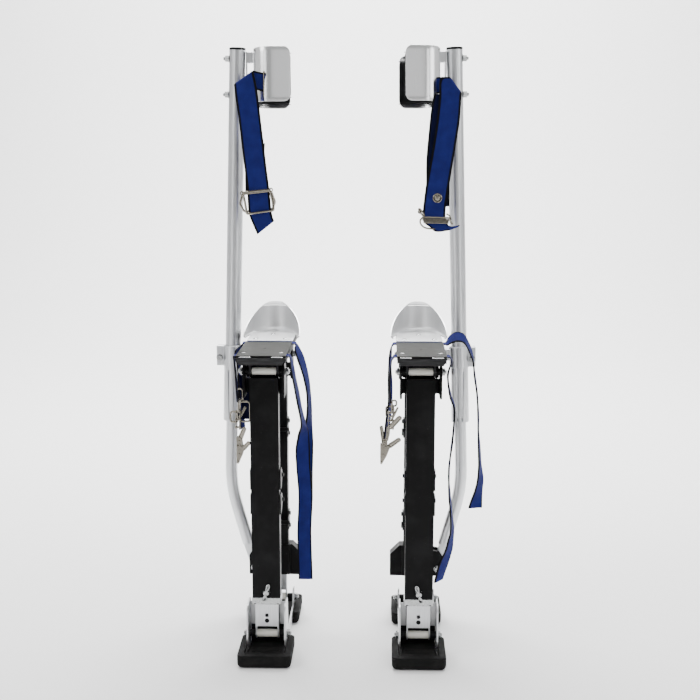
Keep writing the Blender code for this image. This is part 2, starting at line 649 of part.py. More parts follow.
def calf_pad():
    inset = BAND_THICK / 2 + FIT + 0.0002
    outer = band_plan(BAND_BACK + inset, BAND_FREE + 0.004, BAND_HALF_Y - inset, BAND_CORNER - inset)
    inner = band_plan(BAND_BACK + inset + PAD_THICK, BAND_FREE + 0.004,
                      BAND_HALF_Y - inset - PAD_THICK, BAND_CORNER - inset - PAD_THICK)
    outline = outer + inner[::-1]
    centre_x = pole_point(ARM_Z).x
    low = BAND_BOTTOM - PAD_DROP
    bm = bmesh.new()
    loop = [bm.verts.new((centre_x + x, REAR_Y + y, low)) for x, y in outline]
    face = bm.faces.new(loop)
    raised = bmesh.ops.extrude_face_region(bm, geom=[face])["geom"]
    moved = [v for v in raised if isinstance(v, bmesh.types.BMVert)]
    bmesh.ops.translate(bm, vec=(0, 0, PAD_HEIGHT), verts=moved)
    bmesh.ops.recalc_face_normals(bm, faces=bm.faces)
    return tilted(from_bmesh(bm))


def calf_arm():
    """The bracket that reaches from the pole to the back of the band, with its two bolts."""
    centre = pole_point(ARM_Z)
    hug = centre.x - POLE_RADIUS - FIT
    back = centre.x - BAND_BACK + BAND_THICK / 2 + 0.0008
    arm = box((back, REAR_Y - 0.009, ARM_Z - ARM_HALF_Z), (hug - 0.001, REAR_Y + 0.009, ARM_Z + ARM_HALF_Z),
              rounding=0.0015, segments=1)
    strip = box((hug - 0.0035, REAR_Y - 0.009, 1.086), (hug - 0.0006, REAR_Y + 0.009, ARM_Z + ARM_HALF_Z))
    return fused(arm, [strip])


# ---------------------------------------------------------------- straps and buckles
def crossing(x, y):
    """Where a foot strap lies between the pan and the plates, from one edge to the other."""
    z = PAN_TOP + FIT + WEB_THICK / 2
    return [(x - 0.049, y, z, 90), (x - 0.020, y, z, 90), (x + 0.020, y, z, 90), (x + 0.049, y, z, 90)]


def wire_frame(centre, half_x, half_z, thick):
    x, y, z = centre
    outer = box((x - half_x, y - thick, z - half_z), (x + half_x, y + thick, z + half_z))
    hole = box((x - half_x + 0.005, y - 0.01, z - half_z + 0.005),
               (x + half_x - 0.005, y + 0.01, z + half_z - 0.005))
    bar = box((x - half_x + 0.001, y - thick, z - 0.0015), (x + half_x - 0.001, y + thick, z + 0.0015))
    return fused(fused(outer, cut=[hole]), [bar])


def cam_buckle(top, tilt):
    """A strap's spring buckle: a tapered cheek with the release lever standing off it."""
    x, y, z = top
    body = rod((x, y, z), (x - 0.006, y, z - 0.062), 0.010, sides=8, end_radius=0.003)
    lever = rod((x - 0.002, y, z - 0.034), (x + 0.020 * tilt, y - 0.006, z - 0.008), 0.003,
                sides=8, end_radius=0.0022)
    return fused(body, [lever])


# Routes of (x, y, z, turn) in the pair's own coordinates, before its box is centred.
RIGHT_X, LEFT_X = -STILT_X, STILT_X
STRAPS = {
    "right_toe_strap": (
        [(-0.208, -0.128, 0.520, 80), (-0.209, -0.133, 0.560, 85), (-0.207, -0.137, 0.598, 90),
         (-0.2035, -0.138, 0.6070, 90)] + crossing(RIGHT_X, -0.138)
        + [(-0.0965, -0.138, 0.6070, 90), (-0.0945, -0.137, 0.598, 90), (-0.092, -0.130, 0.575, 85),
           (-0.086, -0.118, 0.536, 84), (-0.081, -0.110, 0.503, 82), (-0.076, -0.097, 0.469, 78),
           (-0.0765, -0.088, 0.447, 50), (-0.0785, -0.080, 0.416, 15), (-0.078, -0.078, 0.383, 5),
           (-0.074, -0.074, 0.317, 0), (-0.077, -0.070, 0.250, 0), (-0.077, -0.070, 0.225, 0),
           (-0.075, -0.070, 0.143, 0)], FOOT_WEB_HALF),
    "right_ankle_strap": (
        [(-0.204, -0.020, 0.440, 65), (-0.206, -0.015, 0.500, 70), (-0.209, -0.005, 0.560, 85),
         (-0.207, 0.002, 0.598, 90), (-0.2035, 0.002, 0.6070, 90)] + crossing(RIGHT_X, 0.002)
        + [(-0.0965, 0.002, 0.6070, 90), (-0.0945, 0.000, 0.600, 80), (-0.086, -0.010, 0.580, 70),
           (-0.076, -0.020, 0.549, 76), (-0.070, -0.030, 0.518, 78), (-0.068, -0.038, 0.487, 78),
           (-0.069, -0.044, 0.456, 66), (-0.073, -0.046, 0.423, 30), (-0.074, -0.047, 0.395, 5),
           (-0.075, -0.048, 0.350, 0), (-0.075, -0.050, 0.300, 0)], FOOT_WEB_HALF),
    "left_toe_strap": (
        [(0.092, -0.128, 0.520, 80), (0.091, -0.133, 0.560, 85), (0.093, -0.137, 0.598, 90),
         (0.0965, -0.138, 0.6070, 90)] + crossing(LEFT_X, -0.138)
        + [(0.2035, -0.138, 0.6070, 90), (0.2055, -0.137, 0.598, 90), (0.199, -0.132, 0.572, 90),
           (0.205, -0.120, 0.532, 90), (0.214, -0.112, 0.501, 90), (0.211, -0.100, 0.420, 88),
           (0.205, -0.095, 0.362, 88), (0.208, -0.095, 0.320, 85), (0.216, -0.095, 0.257, 85),
           (0.202, -0.095, 0.200, 85), (0.190, -0.095, 0.154, 80)], FOOT_WEB_HALF),
    "left_ankle_strap": (
        [(0.090, -0.020, 0.450, 65), (0.092, -0.015, 0.500, 70), (0.091, -0.005, 0.560, 85),
         (0.093, 0.002, 0.598, 90), (0.0965, 0.002, 0.6070, 90)] + crossing(LEFT_X, 0.002)
        + [(0.204, 0.004, 0.612, 90), (0.212, 0.012, 0.626, 90), (0.223, 0.016, 0.632, 90),
           (0.238, 0.016, 0.625, 90), (0.250, 0.012, 0.603, 90), (0.256, 0.004, 0.580, 88),
           (0.259, -0.008, 0.550, 86), (0.266, -0.024, 0.505, 84), (0.269, -0.034, 0.470, 75),
           (0.269, -0.042, 0.424, 55), (0.271, -0.048, 0.365, 20), (0.262, -0.050, 0.288, 0)],
        FOOT_WEB_HALF),
    "right_calf_strap": (
        [(-0.190, 0.030, 1.120, 0), (-0.193, 0.027, 1.080, 0), (-0.190, 0.024, 1.020, 0),
         (-0.183, 0.020, 0.960, 0), (-0.176, 0.016, 0.905, 0), (-0.172, 0.014, 0.860, 0),
         (-0.174, 0.014, 0.824, 0)], CALF_WEB_HALF),
    "left_calf_strap": (
        [(0.199, 0.030, 1.120, 0), (0.203, 0.027, 1.080, 0), (0.196, 0.024, 1.010, 0),
         (0.188, 0.020, 0.950, 0), (0.181, 0.016, 0.905, 0), (0.178, 0.014, 0.862, 0),
         (0.186, 0.014, 0.846, 0)], CALF_WEB_HALF),
}
BUCKLES = {
    "right_foot_buckle": (cam_buckle, ((-0.204, -0.021, 0.4365), 1.0)),
    "left_foot_buckle": (cam_buckle, ((0.089, -0.021, 0.4465), 1.0)),
    "right_calf_buckle": (wire_frame, ((-0.174, 0.0115, 0.886), 0.024, 0.014, 0.0012)),
    "left_calf_buckle": (wire_frame, ((0.179, 0.0115, 0.872), 0.024, 0.012, 0.0012)),
}


# ---------------------------------------------------------------- assembly
FRONT_FOOT_PIVOT, REAR_FOOT_PIVOT = (0, FRONT_Y, LOWER_Z), (0, REAR_Y, LOWER_Z)
FRONT_TOP_PIVOT, REAR_TOP_PIVOT = (0, FRONT_Y, UPPER_Z), (0, REAR_Y, UPPER_Z)
ARM_PIVOT = tuple(pole_point(ARM_Z))

# Each piece of a stilt: its shape, its material and the place of its origin.
PIECES = {
    "front_foot": (lambda: rubber_foot(FRONT_FOOT_Y, False), RUBBER, (0, FRONT_Y, 0)),
    "rear_foot": (lambda: rubber_foot(REAR_FOOT_Y, True), RUBBER, (0, REAR_Y, 0)),
    "floor_channel": (floor_channel, ALUMINIUM, (0, 0, 0)),
    "front_lower_bolt": (lambda: pivot_bolt(FRONT_Y, LOWER_Z, CHANNEL_HALF_X, (0.0238, 0.0352), False),
                         ZINC, FRONT_FOOT_PIVOT),
    "rear_lower_bolt": (lambda: pivot_bolt(REAR_Y, LOWER_Z, CHANNEL_HALF_X, (0.0234, 0.0352), True),
                        ZINC, REAR_FOOT_PIVOT),
    "front_lower_bush": (lambda: bush(FRONT_Y, LOWER_Z), NYLON, FRONT_FOOT_PIVOT),
    "front_inner_strut": (lambda: inner_strut(FRONT_Y), ALUMINIUM, FRONT_FOOT_PIVOT),
    "rear_inner_strut": (lambda: inner_strut(REAR_Y), ALUMINIUM, REAR_FOOT_PIVOT),
    "front_outer_strut": (front_outer_strut, BLACK_PAINT, (0, FRONT_Y, OUTER_BOTTOM)),
    "rear_outer_strut": (rear_outer_strut, BLACK_PAINT, (0, REAR_Y, OUTER_BOTTOM)),
    "front_wing_bolt": (front_wing_bolt, ZINC, (0, FRONT_Y, WING_BOLT_Z)),
    "front_upper_bolt": (lambda: pivot_bolt(FRONT_Y, UPPER_Z, HEAD_EAR_OUT, (0.0288, 0.0357), False),
                         ZINC, FRONT_TOP_PIVOT),
    "rear_upper_bolt": (lambda: pivot_bolt(REAR_Y, UPPER_Z, HEAD_EAR_OUT, (0.0288, 0.0357), True, 0.011),
                        ZINC, REAR_TOP_PIVOT),
    "front_upper_bush": (lambda: bush(FRONT_Y, UPPER_Z), NYLON, FRONT_TOP_PIVOT),
    "platform_pan": (platform_pan, ALUMINIUM, FRONT_TOP_PIVOT),
    "sole_plate": (sole_plate, BRUSHED, FRONT_TOP_PIVOT),
    "heel_cup": (heel_cup, POLISHED, (0, CUP_FRONT, PLATE_BOTTOM)),
    "lower_pole": (lower_pole, ALUMINIUM, (WING_X, REAR_Y, WING_Z)),
    "pole_clamp": (pole_clamp, ALUMINIUM, REAR_TOP_PIVOT),
    "upper_pole": (upper_pole, ALUMINIUM, tuple(pole_point(POLE_CLAMP_Z))),
    "calf_arm": (calf_arm, ALUMINIUM, ARM_PIVOT),
    "calf_band": (calf_band, POLISHED, ARM_PIVOT),
    "calf_pad": (calf_pad, FOAM, ARM_PIVOT),
    "upper_spring": (lambda: spring_body(UPPER_SPRING_Z), ZINC, (0, SPRING_PIN_Y, UPPER_SPRING_Z[1])),
    "lower_spring": (lambda: spring_body(LOWER_SPRING_Z), ZINC, (0, SPRING_PIN_Y, LOWER_SPRING_Z[1])),
}


def finish_piece(obj, name, surface, origin, parent):
    """Names a piece, puts its origin at its own pivot and hangs it on its stilt."""
    obj.name = obj.data.name = name
    obj.data.materials.clear()
    obj.data.materials.append(surface)
    obj.data.transform(Matrix.Translation(-Vector(origin)))
    obj.data.shade_smooth()
    obj.data.set_sharp_from_angle(angle=math.radians(35))
    obj.location = origin
    obj.parent = parent


def stilt_empty(name, x, mirror):
    empty = bpy.data.objects.new(name, None)
    empty.location = (x + CENTRE_X, CENTRE_Y, 0)
    empty.scale = (mirror, 1, 1)
    PARTS.objects.link(empty)
    return empty


def build():
    left = stilt_empty("left_stilt", LEFT_X, 1)
    right = stilt_empty("right_stilt", RIGHT_X, -1)
    pair = stilt_empty("pair", 0, 1)
    for name, (make, surface, origin) in PIECES.items():
        piece = make()
        finish_piece(piece, f"left_{name}", surface, origin, left)
        twin = bpy.data.objects.new(f"right_{name}", piece.data)
        twin.location = origin
        twin.parent = right
        PARTS.objects.link(twin)
    for name, (route, half_width) in STRAPS.items():
        finish_piece(ribbon(route, half_width), name, WEBBING, route[0][:3], pair)
    for name, (make, arguments) in BUCKLES.items():
        finish_piece(make(*arguments), name, ZINC, arguments[0], pair)


build()
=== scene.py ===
"""The looks of a pair of drywall stilts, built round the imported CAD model.

A shape is made once in a stilt's own coordinates, with +X pointing outboard and the toes towards
-Y, and is then set down on both stilts. Webbing and buckles differ from side to side, so they are
made in the pair's coordinates.
"""

import math

import bmesh
import bpy
from mathutils import Matrix, Vector


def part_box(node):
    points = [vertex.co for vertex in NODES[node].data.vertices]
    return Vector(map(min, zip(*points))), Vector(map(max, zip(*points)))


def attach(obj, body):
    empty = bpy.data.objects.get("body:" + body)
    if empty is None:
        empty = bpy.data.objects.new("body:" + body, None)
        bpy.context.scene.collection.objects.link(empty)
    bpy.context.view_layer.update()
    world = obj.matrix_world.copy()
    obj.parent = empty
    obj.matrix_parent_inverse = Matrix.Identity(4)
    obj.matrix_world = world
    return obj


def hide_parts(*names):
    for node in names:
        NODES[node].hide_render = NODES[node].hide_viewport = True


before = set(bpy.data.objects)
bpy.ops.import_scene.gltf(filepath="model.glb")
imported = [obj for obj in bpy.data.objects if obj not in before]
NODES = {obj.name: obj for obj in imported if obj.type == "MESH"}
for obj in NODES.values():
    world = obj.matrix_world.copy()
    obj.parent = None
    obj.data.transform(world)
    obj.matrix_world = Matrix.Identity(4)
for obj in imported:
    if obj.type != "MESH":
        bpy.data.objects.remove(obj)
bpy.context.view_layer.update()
SIDES = {"right": -1, "left": 1}


def middle(node):
    low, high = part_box(node)
    return (low + high) / 2


# Places read from the frame
FRONT_AXLE, REAR_AXLE = middle("left_front_lower_bolt"), middle("left_rear_lower_bolt")
REAR_Y = (REAR_AXLE.y - FRONT_AXLE.y) / 2
FRONT_Y = -REAR_Y
CENTRE = {side: Vector((middle(f"{side}_front_foot").x, FRONT_AXLE.y + REAR_Y, 0)) for side in SIDES}
PAIR = (CENTRE["left"] + CENTRE["right"]) / 2
LOWER_Z = FRONT_AXLE.z
UPPER_Z = middle("left_front_upper_bolt").z
WING_Z = middle("left_front_wing_bolt").z

# Dimensions shared with the CAD model
OUTER_HALF_X, OUTER_HALF_Y = 0.0275, 0.0140
CHANNEL_HALF_X, HEAD_EAR_OUT = 0.0385, 0.040
FOOT_HALF_X, FOOT_HEIGHT, FOOT_WALL, FOOT_SOLE = 0.0525, 0.026, 0.013, 0.008
FRONT_FOOT_Y, REAR_FOOT_Y = (-0.178, -0.073), (0.038, 0.143)
BUSH_RADIUS, BUSH_HALF, BOLT_RADIUS = 0.0080, 0.0235, 0.0040
SPRING_PIN_Y = 0.068
UPPER_SPRING_Z, LOWER_SPRING_Z = (0.358, 0.416), (0.308, 0.214)
PAN_HALF_X, PAN_TOP, LIP_BOTTOM = 0.046, 0.6086, 0.5955
PLATE_BOTTOM, HEEL_Y = 0.6109, (0.011, 0.135)
CUP_HALF_X, CUP_FRONT, CUP_BACK, CUP_HEIGHT, CUP_RIM_LOW = 0.0575, 0.048, 0.149, 0.062, 0.005
POLE_LEAN, POLE_X, POLE_CLAMP_Z = math.radians(1.8), 0.085, 0.567
POLE_RADIUS, TUBE_RADIUS, TUBE_BORE = 0.016, 0.0127, 0.0132
POLE_BOTTOM, POLE_TOP, TUBE_TOP = 0.440, 1.189, 0.600
SLEEVE_RADIUS, SLEEVE_BORE = 0.0185, 0.0164
SLEEVE_BOTTOM, CLAMP_BOTTOM, CLAMP_TOP = 0.430, 0.545, 0.590
FOOT_BOLT_X, FOOT_BOLT_Z = 0.045, 0.109
FOOT_HEADING, BEND_RADIUS = math.radians(15.4), 0.30
BAND_BACK, BAND_FREE, BAND_HALF_Y, BAND_CORNER = 0.033, 0.104, 0.057, 0.035
BAND_BOTTOM, BAND_TOP, BAND_THICK, BAND_TILT = 1.077, 1.183, 0.002, math.radians(6)
PAD_BOTTOM, PAD_HEIGHT, PAD_THICK = 1.085, 0.085, 0.010
ARM_Z, ARM_BOLTS_Z = 1.170, (1.168, 1.098)
CALF_YAW = math.radians(5.5)   # both bands stand turned the same way on their poles
WEB_THICK, WEB_EDGE_THICK, FOOT_WEB_HALF = 0.0016, 0.0030, 0.0140
WASHER = 0.0012   # the thickness of the washer under every nut and bolt head


# ---------------------------------------------------------------- camera, floor and light
# Each light's name, place, target, size and power, and the height of an upright strip
LIGHTS = (
    ("key_light", (-2.3, -1.2, 2.3), (0, 0, 0.7), 1.2, 20),
    ("fill_light", (2.4, -0.9, 1.7), (0, 0, 0.6), 1.2, 12),
    ("strip_light_1", (-1.6, -1.8, 1.0), (0, 0, 0.8), 0.35, 7, 2.0),
    ("strip_light_3", (1.6, -1.8, 1.0), (0, 0, 0.8), 0.35, 7, 2.0),
    ("panel_light", (0.5, -3.0, 2.0), (0, 0, 1.0), 1.3, 2.6),
    ("top_light", (0.0, 0.4, 3.6), (0, 0.4, 0), 3.4, 70),
    ("back_light", (0.0, 1.6, 3.4), (0, 3.9, 1.0), 3.0, 440),
)
SWEEP_HALF_X, SWEEP_FRONT_Y, SWEEP_BEND_Y, SWEEP_BEND, SWEEP_TOP = 7.0, -6.0, 2.6, 1.6, 6.0


def area_light(name, place, target, size, power, height=0.0):
    """A round soft light, or an upright strip of the given height."""
    data = bpy.data.lights.new(name, "AREA")
    data.shape = "RECTANGLE" if height else "DISK"
    data.size = size
    if height:
        data.size_y = height
    data.energy = power
    light = shown(name, data)
    light.location = place
    light.rotation_euler = (Vector(target) - Vector(place)).to_track_quat("-Z", "Y").to_euler()


def studio():
    """A pale sweep that rises behind the object, soft lights and an even pale sky."""
    camera = shown("camera", bpy.data.cameras.new("camera"))
    camera.data.sensor_width, camera.data.lens = 36.0, 59.1
    camera.location = PAIR + Vector((0.080, -2.253, 0.994))
    camera.rotation_euler = (math.radians(80), 0, math.radians(1.74))
    bpy.context.scene.camera = camera

    profile = [(SWEEP_FRONT_Y, 0.0), (SWEEP_BEND_Y, 0.0)]
    profile += arc((SWEEP_BEND_Y, SWEEP_BEND), SWEEP_BEND, -80, 0, 8)
    profile.append((SWEEP_BEND_Y + SWEEP_BEND, SWEEP_TOP))
    bm = bmesh.new()
    rows = [[bm.verts.new((x, y, z)) for x in (-SWEEP_HALF_X, SWEEP_HALF_X)] for y, z in profile]
    for low, high in zip(rows, rows[1:]):
        bm.faces.new((low[0], low[1], high[1], high[0]))
    floor = new_object(bm, "studio_floor")
    floor.data.shade_smooth()
    floor.data.materials.append(SWEEP)
    for light in LIGHTS:
        area_light(*light)
    sky()


def sky():
    """A pale studio that is darker on the camera's side of the object, so that metal has contrast."""
    world = bpy.data.worlds.new("studio")
    world.use_nodes = True
    tree = world.node_tree
    coordinate = tree.nodes.new("ShaderNodeTexCoord")
    parts = tree.nodes.new("ShaderNodeSeparateXYZ")
    level = tree.nodes.new("ShaderNodeMapRange")
    for socket, value in (("From Min", -0.95), ("From Max", 0.1), ("To Min", 0.37), ("To Max", 0.85)):
        level.inputs[socket].default_value = value
    tree.nodes["Background"].inputs["Color"].default_value = (1, 1, 1, 1)
    tree.links.new(coordinate.outputs["Generated"], parts.inputs[0])
    tree.links.new(parts.outputs["Y"], level.inputs["Value"])
    tree.links.new(level.outputs[0], tree.nodes["Background"].inputs["Strength"])
    bpy.context.scene.world = world


# ---------------------------------------------------------------- materials
def grey(level, blue=0.0):
    return (level, level, level + blue)


class Look:
    """A Principled material with helpers that keep its node tree short to write."""

    def __init__(self, name, colour, roughness, metallic=0.0, gloss=0.5, edge=1.0):
        self.material = bpy.data.materials.new(name)
        self.material.use_nodes = True
        self.tree = self.material.node_tree
        self.shader = self.tree.nodes["Principled BSDF"]
        for socket, value in (("Base Color", (*colour, 1)), ("Roughness", roughness), ("Metallic", metallic),
                              ("Specular IOR Level", gloss), ("Specular Tint", (edge, edge, edge, 1))):
            self.shader.inputs[socket].default_value = value

    def node(self, kind, values, links):
        made = self.tree.nodes.new("ShaderNode" + kind)
        for socket, value in values.items():
            made.inputs[socket].default_value = value
        for socket, source in links.items():
            self.tree.links.new(source, made.inputs[socket])
        return made.outputs[0]

    def combine(self, sockets, values):
        """Sets each socket to a constant or links it to another node's output."""
        for socket, value in zip(sockets, values):
            if isinstance(value, bpy.types.NodeSocket):
                self.tree.links.new(value, socket)
            else:
                socket.default_value = value

    def feed(self, socket, source):
        self.tree.links.new(source, self.shader.inputs[socket])

    def place(self, stretch=(1, 1, 1)):
        """The place on the piece at rest, in metres."""
        at = self.tree.nodes.new("ShaderNodeTexCoord").outputs["Object"]
        return self.node("Mapping", {"Scale": stretch}, {"Vector": at})

    def split(self, vector):
        parts = self.tree.nodes.new("ShaderNodeSeparateXYZ")
        self.tree.links.new(vector, parts.inputs[0])
        return parts.outputs

    def noise(self, at, scale, detail=3.0):
        return self.node("TexNoise", {"Scale": scale, "Detail": detail}, {"Vector": at})

    def spread(self, source, low, high, start=0.3, end=0.7):
        """Maps the source's range from start to end on to low to high."""
        return self.node("MapRange", {"From Min": start, "From Max": end, "To Min": low, "To Max": high},
                         {"Value": source})

    def mix(self, share, first, second):
        """A colour between two, each a colour or a socket, by the share's socket."""
        made = self.tree.nodes.new("ShaderNodeMix")
        made.data_type = "RGBA"
        colours = [(*value, 1) if isinstance(value, tuple) else value for value in (first, second)]
        self.combine((made.inputs["Factor"], made.inputs[6], made.inputs[7]), (share, *colours))
        return made.outputs[2]

    def maths(self, operation, first, second=0.0):
        made = self.tree.nodes.new("ShaderNodeMath")
        made.operation = operation
        self.combine(made.inputs, (first, second))
        return made.outputs[0]

    def tone(self, source, first, second, start=0.3, end=0.7):
        """Colours the surface from the first colour to the second as the source rises."""
        self.feed("Base Color", self.mix(self.spread(source, 0, 1, start, end), first, second))

    def rough(self, source, low, high, start=0.3, end=0.7):
        self.feed("Roughness", self.spread(source, low, high, start, end))

    def bump(self, height, strength, distance):
        values = {"Strength": strength, "Distance": distance}
        self.feed("Normal", self.node("Bump", values, {"Height": height}))


def metal(name, colour, roughness, stretch, grain, swing=0.06, depth=0.00003, tone=0.10, patches=0.35,
          edge=1.0):
    """Metal with fine grain along its long axis, small changes of tone and a few dull patches."""
    look = Look(name, colour, roughness, 1.0, edge=edge)
    streaks = look.noise(look.place(stretch), grain, 4.0)
    dull = look.noise(look.place(), 38.0, 4.0)
    dark = tuple(c * (1 - tone) for c in colour)
    light = tuple(min(c * (1 + tone * 0.6), 1) for c in colour)
    fine = look.mix(look.spread(streaks, 0, 1), dark, light)
    look.feed("Base Color", look.mix(look.spread(dull, 0, patches, 0.45, 0.75), fine, dark))
    look.feed("Roughness", look.maths("ADD", look.spread(streaks, roughness - swing, roughness + swing),
                                      look.spread(dull, 0, 0.2 * patches, 0.45, 0.75)))
    look.bump(streaks, 0.35 * (patches > 0.1) + 0.04, depth)
    return look.material


def black_paint():
    """Satin black paint with a fine orange-peel skin, rubbed grey specks and dust in places."""
    look = Look("satin_black_paint", grey(0.006, 0.0005), 0.42, gloss=0.08)
    at = look.place()
    patches = look.noise(at, 26.0, 5.0)
    specks = look.noise(at, 420.0, 2.0)
    dusty = look.mix(look.spread(patches, 0, 1, 0.42, 0.70), grey(0.0045, 0.0003), grey(0.009, 0.0005))
    look.feed("Base Color", look.mix(look.spread(specks, 0, 0.5, 0.70, 0.80), dusty, grey(0.05, 0.002)))
    look.rough(patches, 0.34, 0.50)
    look.bump(look.noise(at, 1400.0, 2.0), 0.25, 0.00006)
    return look.material


def rubber():
    """Moulded rubber with a fine pebble and a little dust."""
    look = Look("moulded_rubber", grey(0.007), 0.62, gloss=0.08)
    at = look.place()
    dust = look.noise(at, 45.0, 6.0)
    look.tone(dust, grey(0.0055), (0.015, 0.0145, 0.014), 0.45, 0.75)
    look.rough(dust, 0.52, 0.78)
    look.bump(look.node("TexVoronoi", {"Scale": 900.0}, {"Vector": at}), 0.30, 0.00012)
    return look.material


def pad_cloth():
    """Black knit skin laid over foam."""
    look = Look("pad_knit", grey(0.01, 0.001), 0.88, gloss=0.06)
    at = look.place()
    knit = look.node("TexVoronoi", {"Scale": 620.0, "Randomness": 0.35}, {"Vector": at})
    look.tone(look.noise(at, 60.0, 4.0), grey(0.004, 0.0005), grey(0.011, 0.001))
    look.rough(knit, 0.80, 0.97, 0.0, 0.6)
    look.shader.inputs["Sheen Weight"].default_value = 0.06
    look.bump(knit, 0.60, 0.00030)
    return look.material


def nylon():
    """Cloudy cream nylon with faint turning marks."""
    look = Look("cream_nylon", (0.86, 0.84, 0.76), 0.38)
    cloudy = look.noise(look.place((0.25, 1, 1)), 160.0, 4.0)
    look.tone(cloudy, (0.80, 0.78, 0.69), (0.92, 0.90, 0.84))
    look.rough(cloudy, 0.30, 0.46)
    look.bump(look.noise(look.place((0.05, 1, 1)), 700.0), 0.20, 0.00004)
    return look.material


def cap_plastic():
    """Black plastic with a fine even texture."""
    look = Look("black_plastic", grey(0.005, 0.0005), 0.45, gloss=0.12)
    texture = look.noise(look.place(), 1100.0, 2.0)
    look.tone(texture, grey(0.004, 0.0005), grey(0.008, 0.0005))
    look.rough(texture, 0.38, 0.52)
    look.bump(texture, 0.20, 0.00005)
    return look.material


def webbing_cloth(name, shade):
    """Royal blue herringbone webbing with black borders, drawn by each strap's own web attribute. The shade
    scales the blue; a low shade paints shade on strands that lie behind others.
    """
    look = Look(name, (0.010, 0.026, 0.180), 0.70, gloss=0.06)
    attribute = look.tree.nodes.new("ShaderNodeAttribute")
    attribute.attribute_name = "web"
    across, along, half = look.split(attribute.outputs["Vector"])
    border = look.spread(look.maths("DIVIDE", look.maths("ABSOLUTE", across), half), 0, 1, 0.79, 0.82)
    zigzag = look.maths("PINGPONG", look.maths("ADD", across, 0.2), 0.0030)
    rib = look.maths("SINE", look.maths("MULTIPLY", look.maths("ADD", along, zigzag), math.tau / 0.0019))
    thread = look.maths("SINE", look.maths("MULTIPLY", across, math.tau / 0.00125))
    weave = look.maths("ADD", look.maths("MULTIPLY", rib, 0.30), look.maths("MULTIPLY", thread, 0.20))
    weave = look.maths("ADD", weave, 0.5)
    dark, light, faded = (
        tuple(shade * part for part in tone)
        for tone in ((0.0040, 0.0055, 0.046), (0.0110, 0.0150, 0.122), (0.0130, 0.0185, 0.142)))
    blue = look.mix(look.spread(weave, 0, 1, 0, 1), dark, light)
    blue = look.mix(look.spread(look.noise(look.place(), 55.0, 4.0), 0, 0.45), blue, faded)
    look.feed("Base Color", look.mix(border, blue, (0.003, 0.003, 0.005)))
    look.shader.inputs["Sheen Weight"].default_value = 0.03
    look.bump(weave, 0.55, 0.00022)
    return look.material


def pan_metal():
    """Grey plated steel on the platform's top and lip, and black below the lip: black paint on the ears, and
    in part painted shade under the lip.
    """
    look = Look("pan_steel", grey(0.24, 0.005), 0.36, 1.0, edge=0.25)
    height = look.split(look.place())["Z"]
    # Below the lip the colour turns black and non-metallic: black paint on the ears, and in part painted
    # shade under the lip.
    bare = look.spread(height, 0, 1, LIP_BOTTOM - 0.0012, LIP_BOTTOM - 0.0004)
    streaks = look.noise(look.place((0.05, 1, 1)), 520.0, 4.0)
    steel = look.mix(look.spread(streaks, 0, 1), grey(0.03, 0.001), grey(0.06, 0.002))
    look.feed("Base Color", look.mix(bare, grey(0.01, 0.001), steel))
    look.feed("Metallic", bare)
    look.rough(streaks, 0.30, 0.42)
    look.bump(streaks, 0.30, 0.00003)
    return look.material


def sweep_paper():
    """The pale background paper."""
    look = Look("studio_paper", grey(0.94), 0.9)
    look.tone(look.noise(look.place(), 30.0), grey(0.935), grey(0.95))
    return look.material


GLOSSY = {"swing": 0.02, "depth": 0.000008, "tone": 0.03, "patches": 0.05}
SWEEP = sweep_paper()
TUBE = metal("drawn_aluminium", (0.66, 0.67, 0.685), 0.33, (1, 1, 0.03), 700.0)
SHEET = metal("pressed_aluminium", (0.70, 0.71, 0.72), 0.34, (1, 1, 0.05), 520.0)
BRACKET = metal("bracket_aluminium", (0.42, 0.425, 0.43), 0.38, (1, 1, 0.05), 520.0, edge=0.5)
POLISHED = metal("polished_aluminium", (0.88, 0.885, 0.89), 0.25, (1, 1, 0.04), 300.0, **GLOSSY)
SATIN = metal("satin_aluminium", (0.86, 0.865, 0.87), 0.40, (1, 1, 0.04), 300.0, **GLOSSY)
BRUSHED = metal("brushed_plate", (0.19, 0.19, 0.186), 0.34, (0.03, 1, 1), 900.0, 0.08, tone=0.18, edge=0.25)
ZINC = metal("zinc_plate", (0.46, 0.47, 0.47), 0.24, (1, 1, 1), 260.0, 0.05, tone=0.12)
NICKEL = metal("nickel_plate", (0.25, 0.23, 0.195), 0.20, (1, 1, 1), 240.0, 0.05, 0.00002, 0.14)
PAINT, RUBBER, PAD, NYLON, CAP, PAN = (
    black_paint(), rubber(), pad_cloth(), nylon(), cap_plastic(), pan_metal())
# The second webbing is the blue webbing darkened: painted shade for the strands behind and for the keeper.
WEBBING, WEBBING_PAINTED_SHADE = webbing_cloth("blue_webbing", 1.08), webbing_cloth("painted_shade_webbing", 0.22)


# ---------------------------------------------------------------- shape helpers
def shown(name, data):
    """A new object in the scene that holds the data."""
    obj = bpy.data.objects.new(name, data)
    bpy.context.scene.collection.objects.link(obj)
    return obj


def mm(*lengths):
    """Lengths given in millimetres, as metres."""
    return tuple(length / 1000 for length in lengths)


def route(*places):
    return [mm(*place) for place in places]


def new_object(bm, name="shape"):
    mesh = bpy.data.meshes.new(name)
    bm.to_mesh(mesh)
    bm.free()
    return shown(name, mesh)


def baked(obj):
    """Gives back a mesh object that holds the evaluated shape of a mesh or a curve."""
    bpy.context.view_layer.update()
    graph = bpy.context.evaluated_depsgraph_get()
    made = shown("shape", bpy.data.meshes.new_from_object(obj.evaluated_get(graph)))
    bpy.data.objects.remove(obj)
    return made


def joined(*parts):
    bm = bmesh.new()
    for part in parts:
        bm.from_mesh(part.data)
        bpy.data.objects.remove(part)
    return new_object(bm)


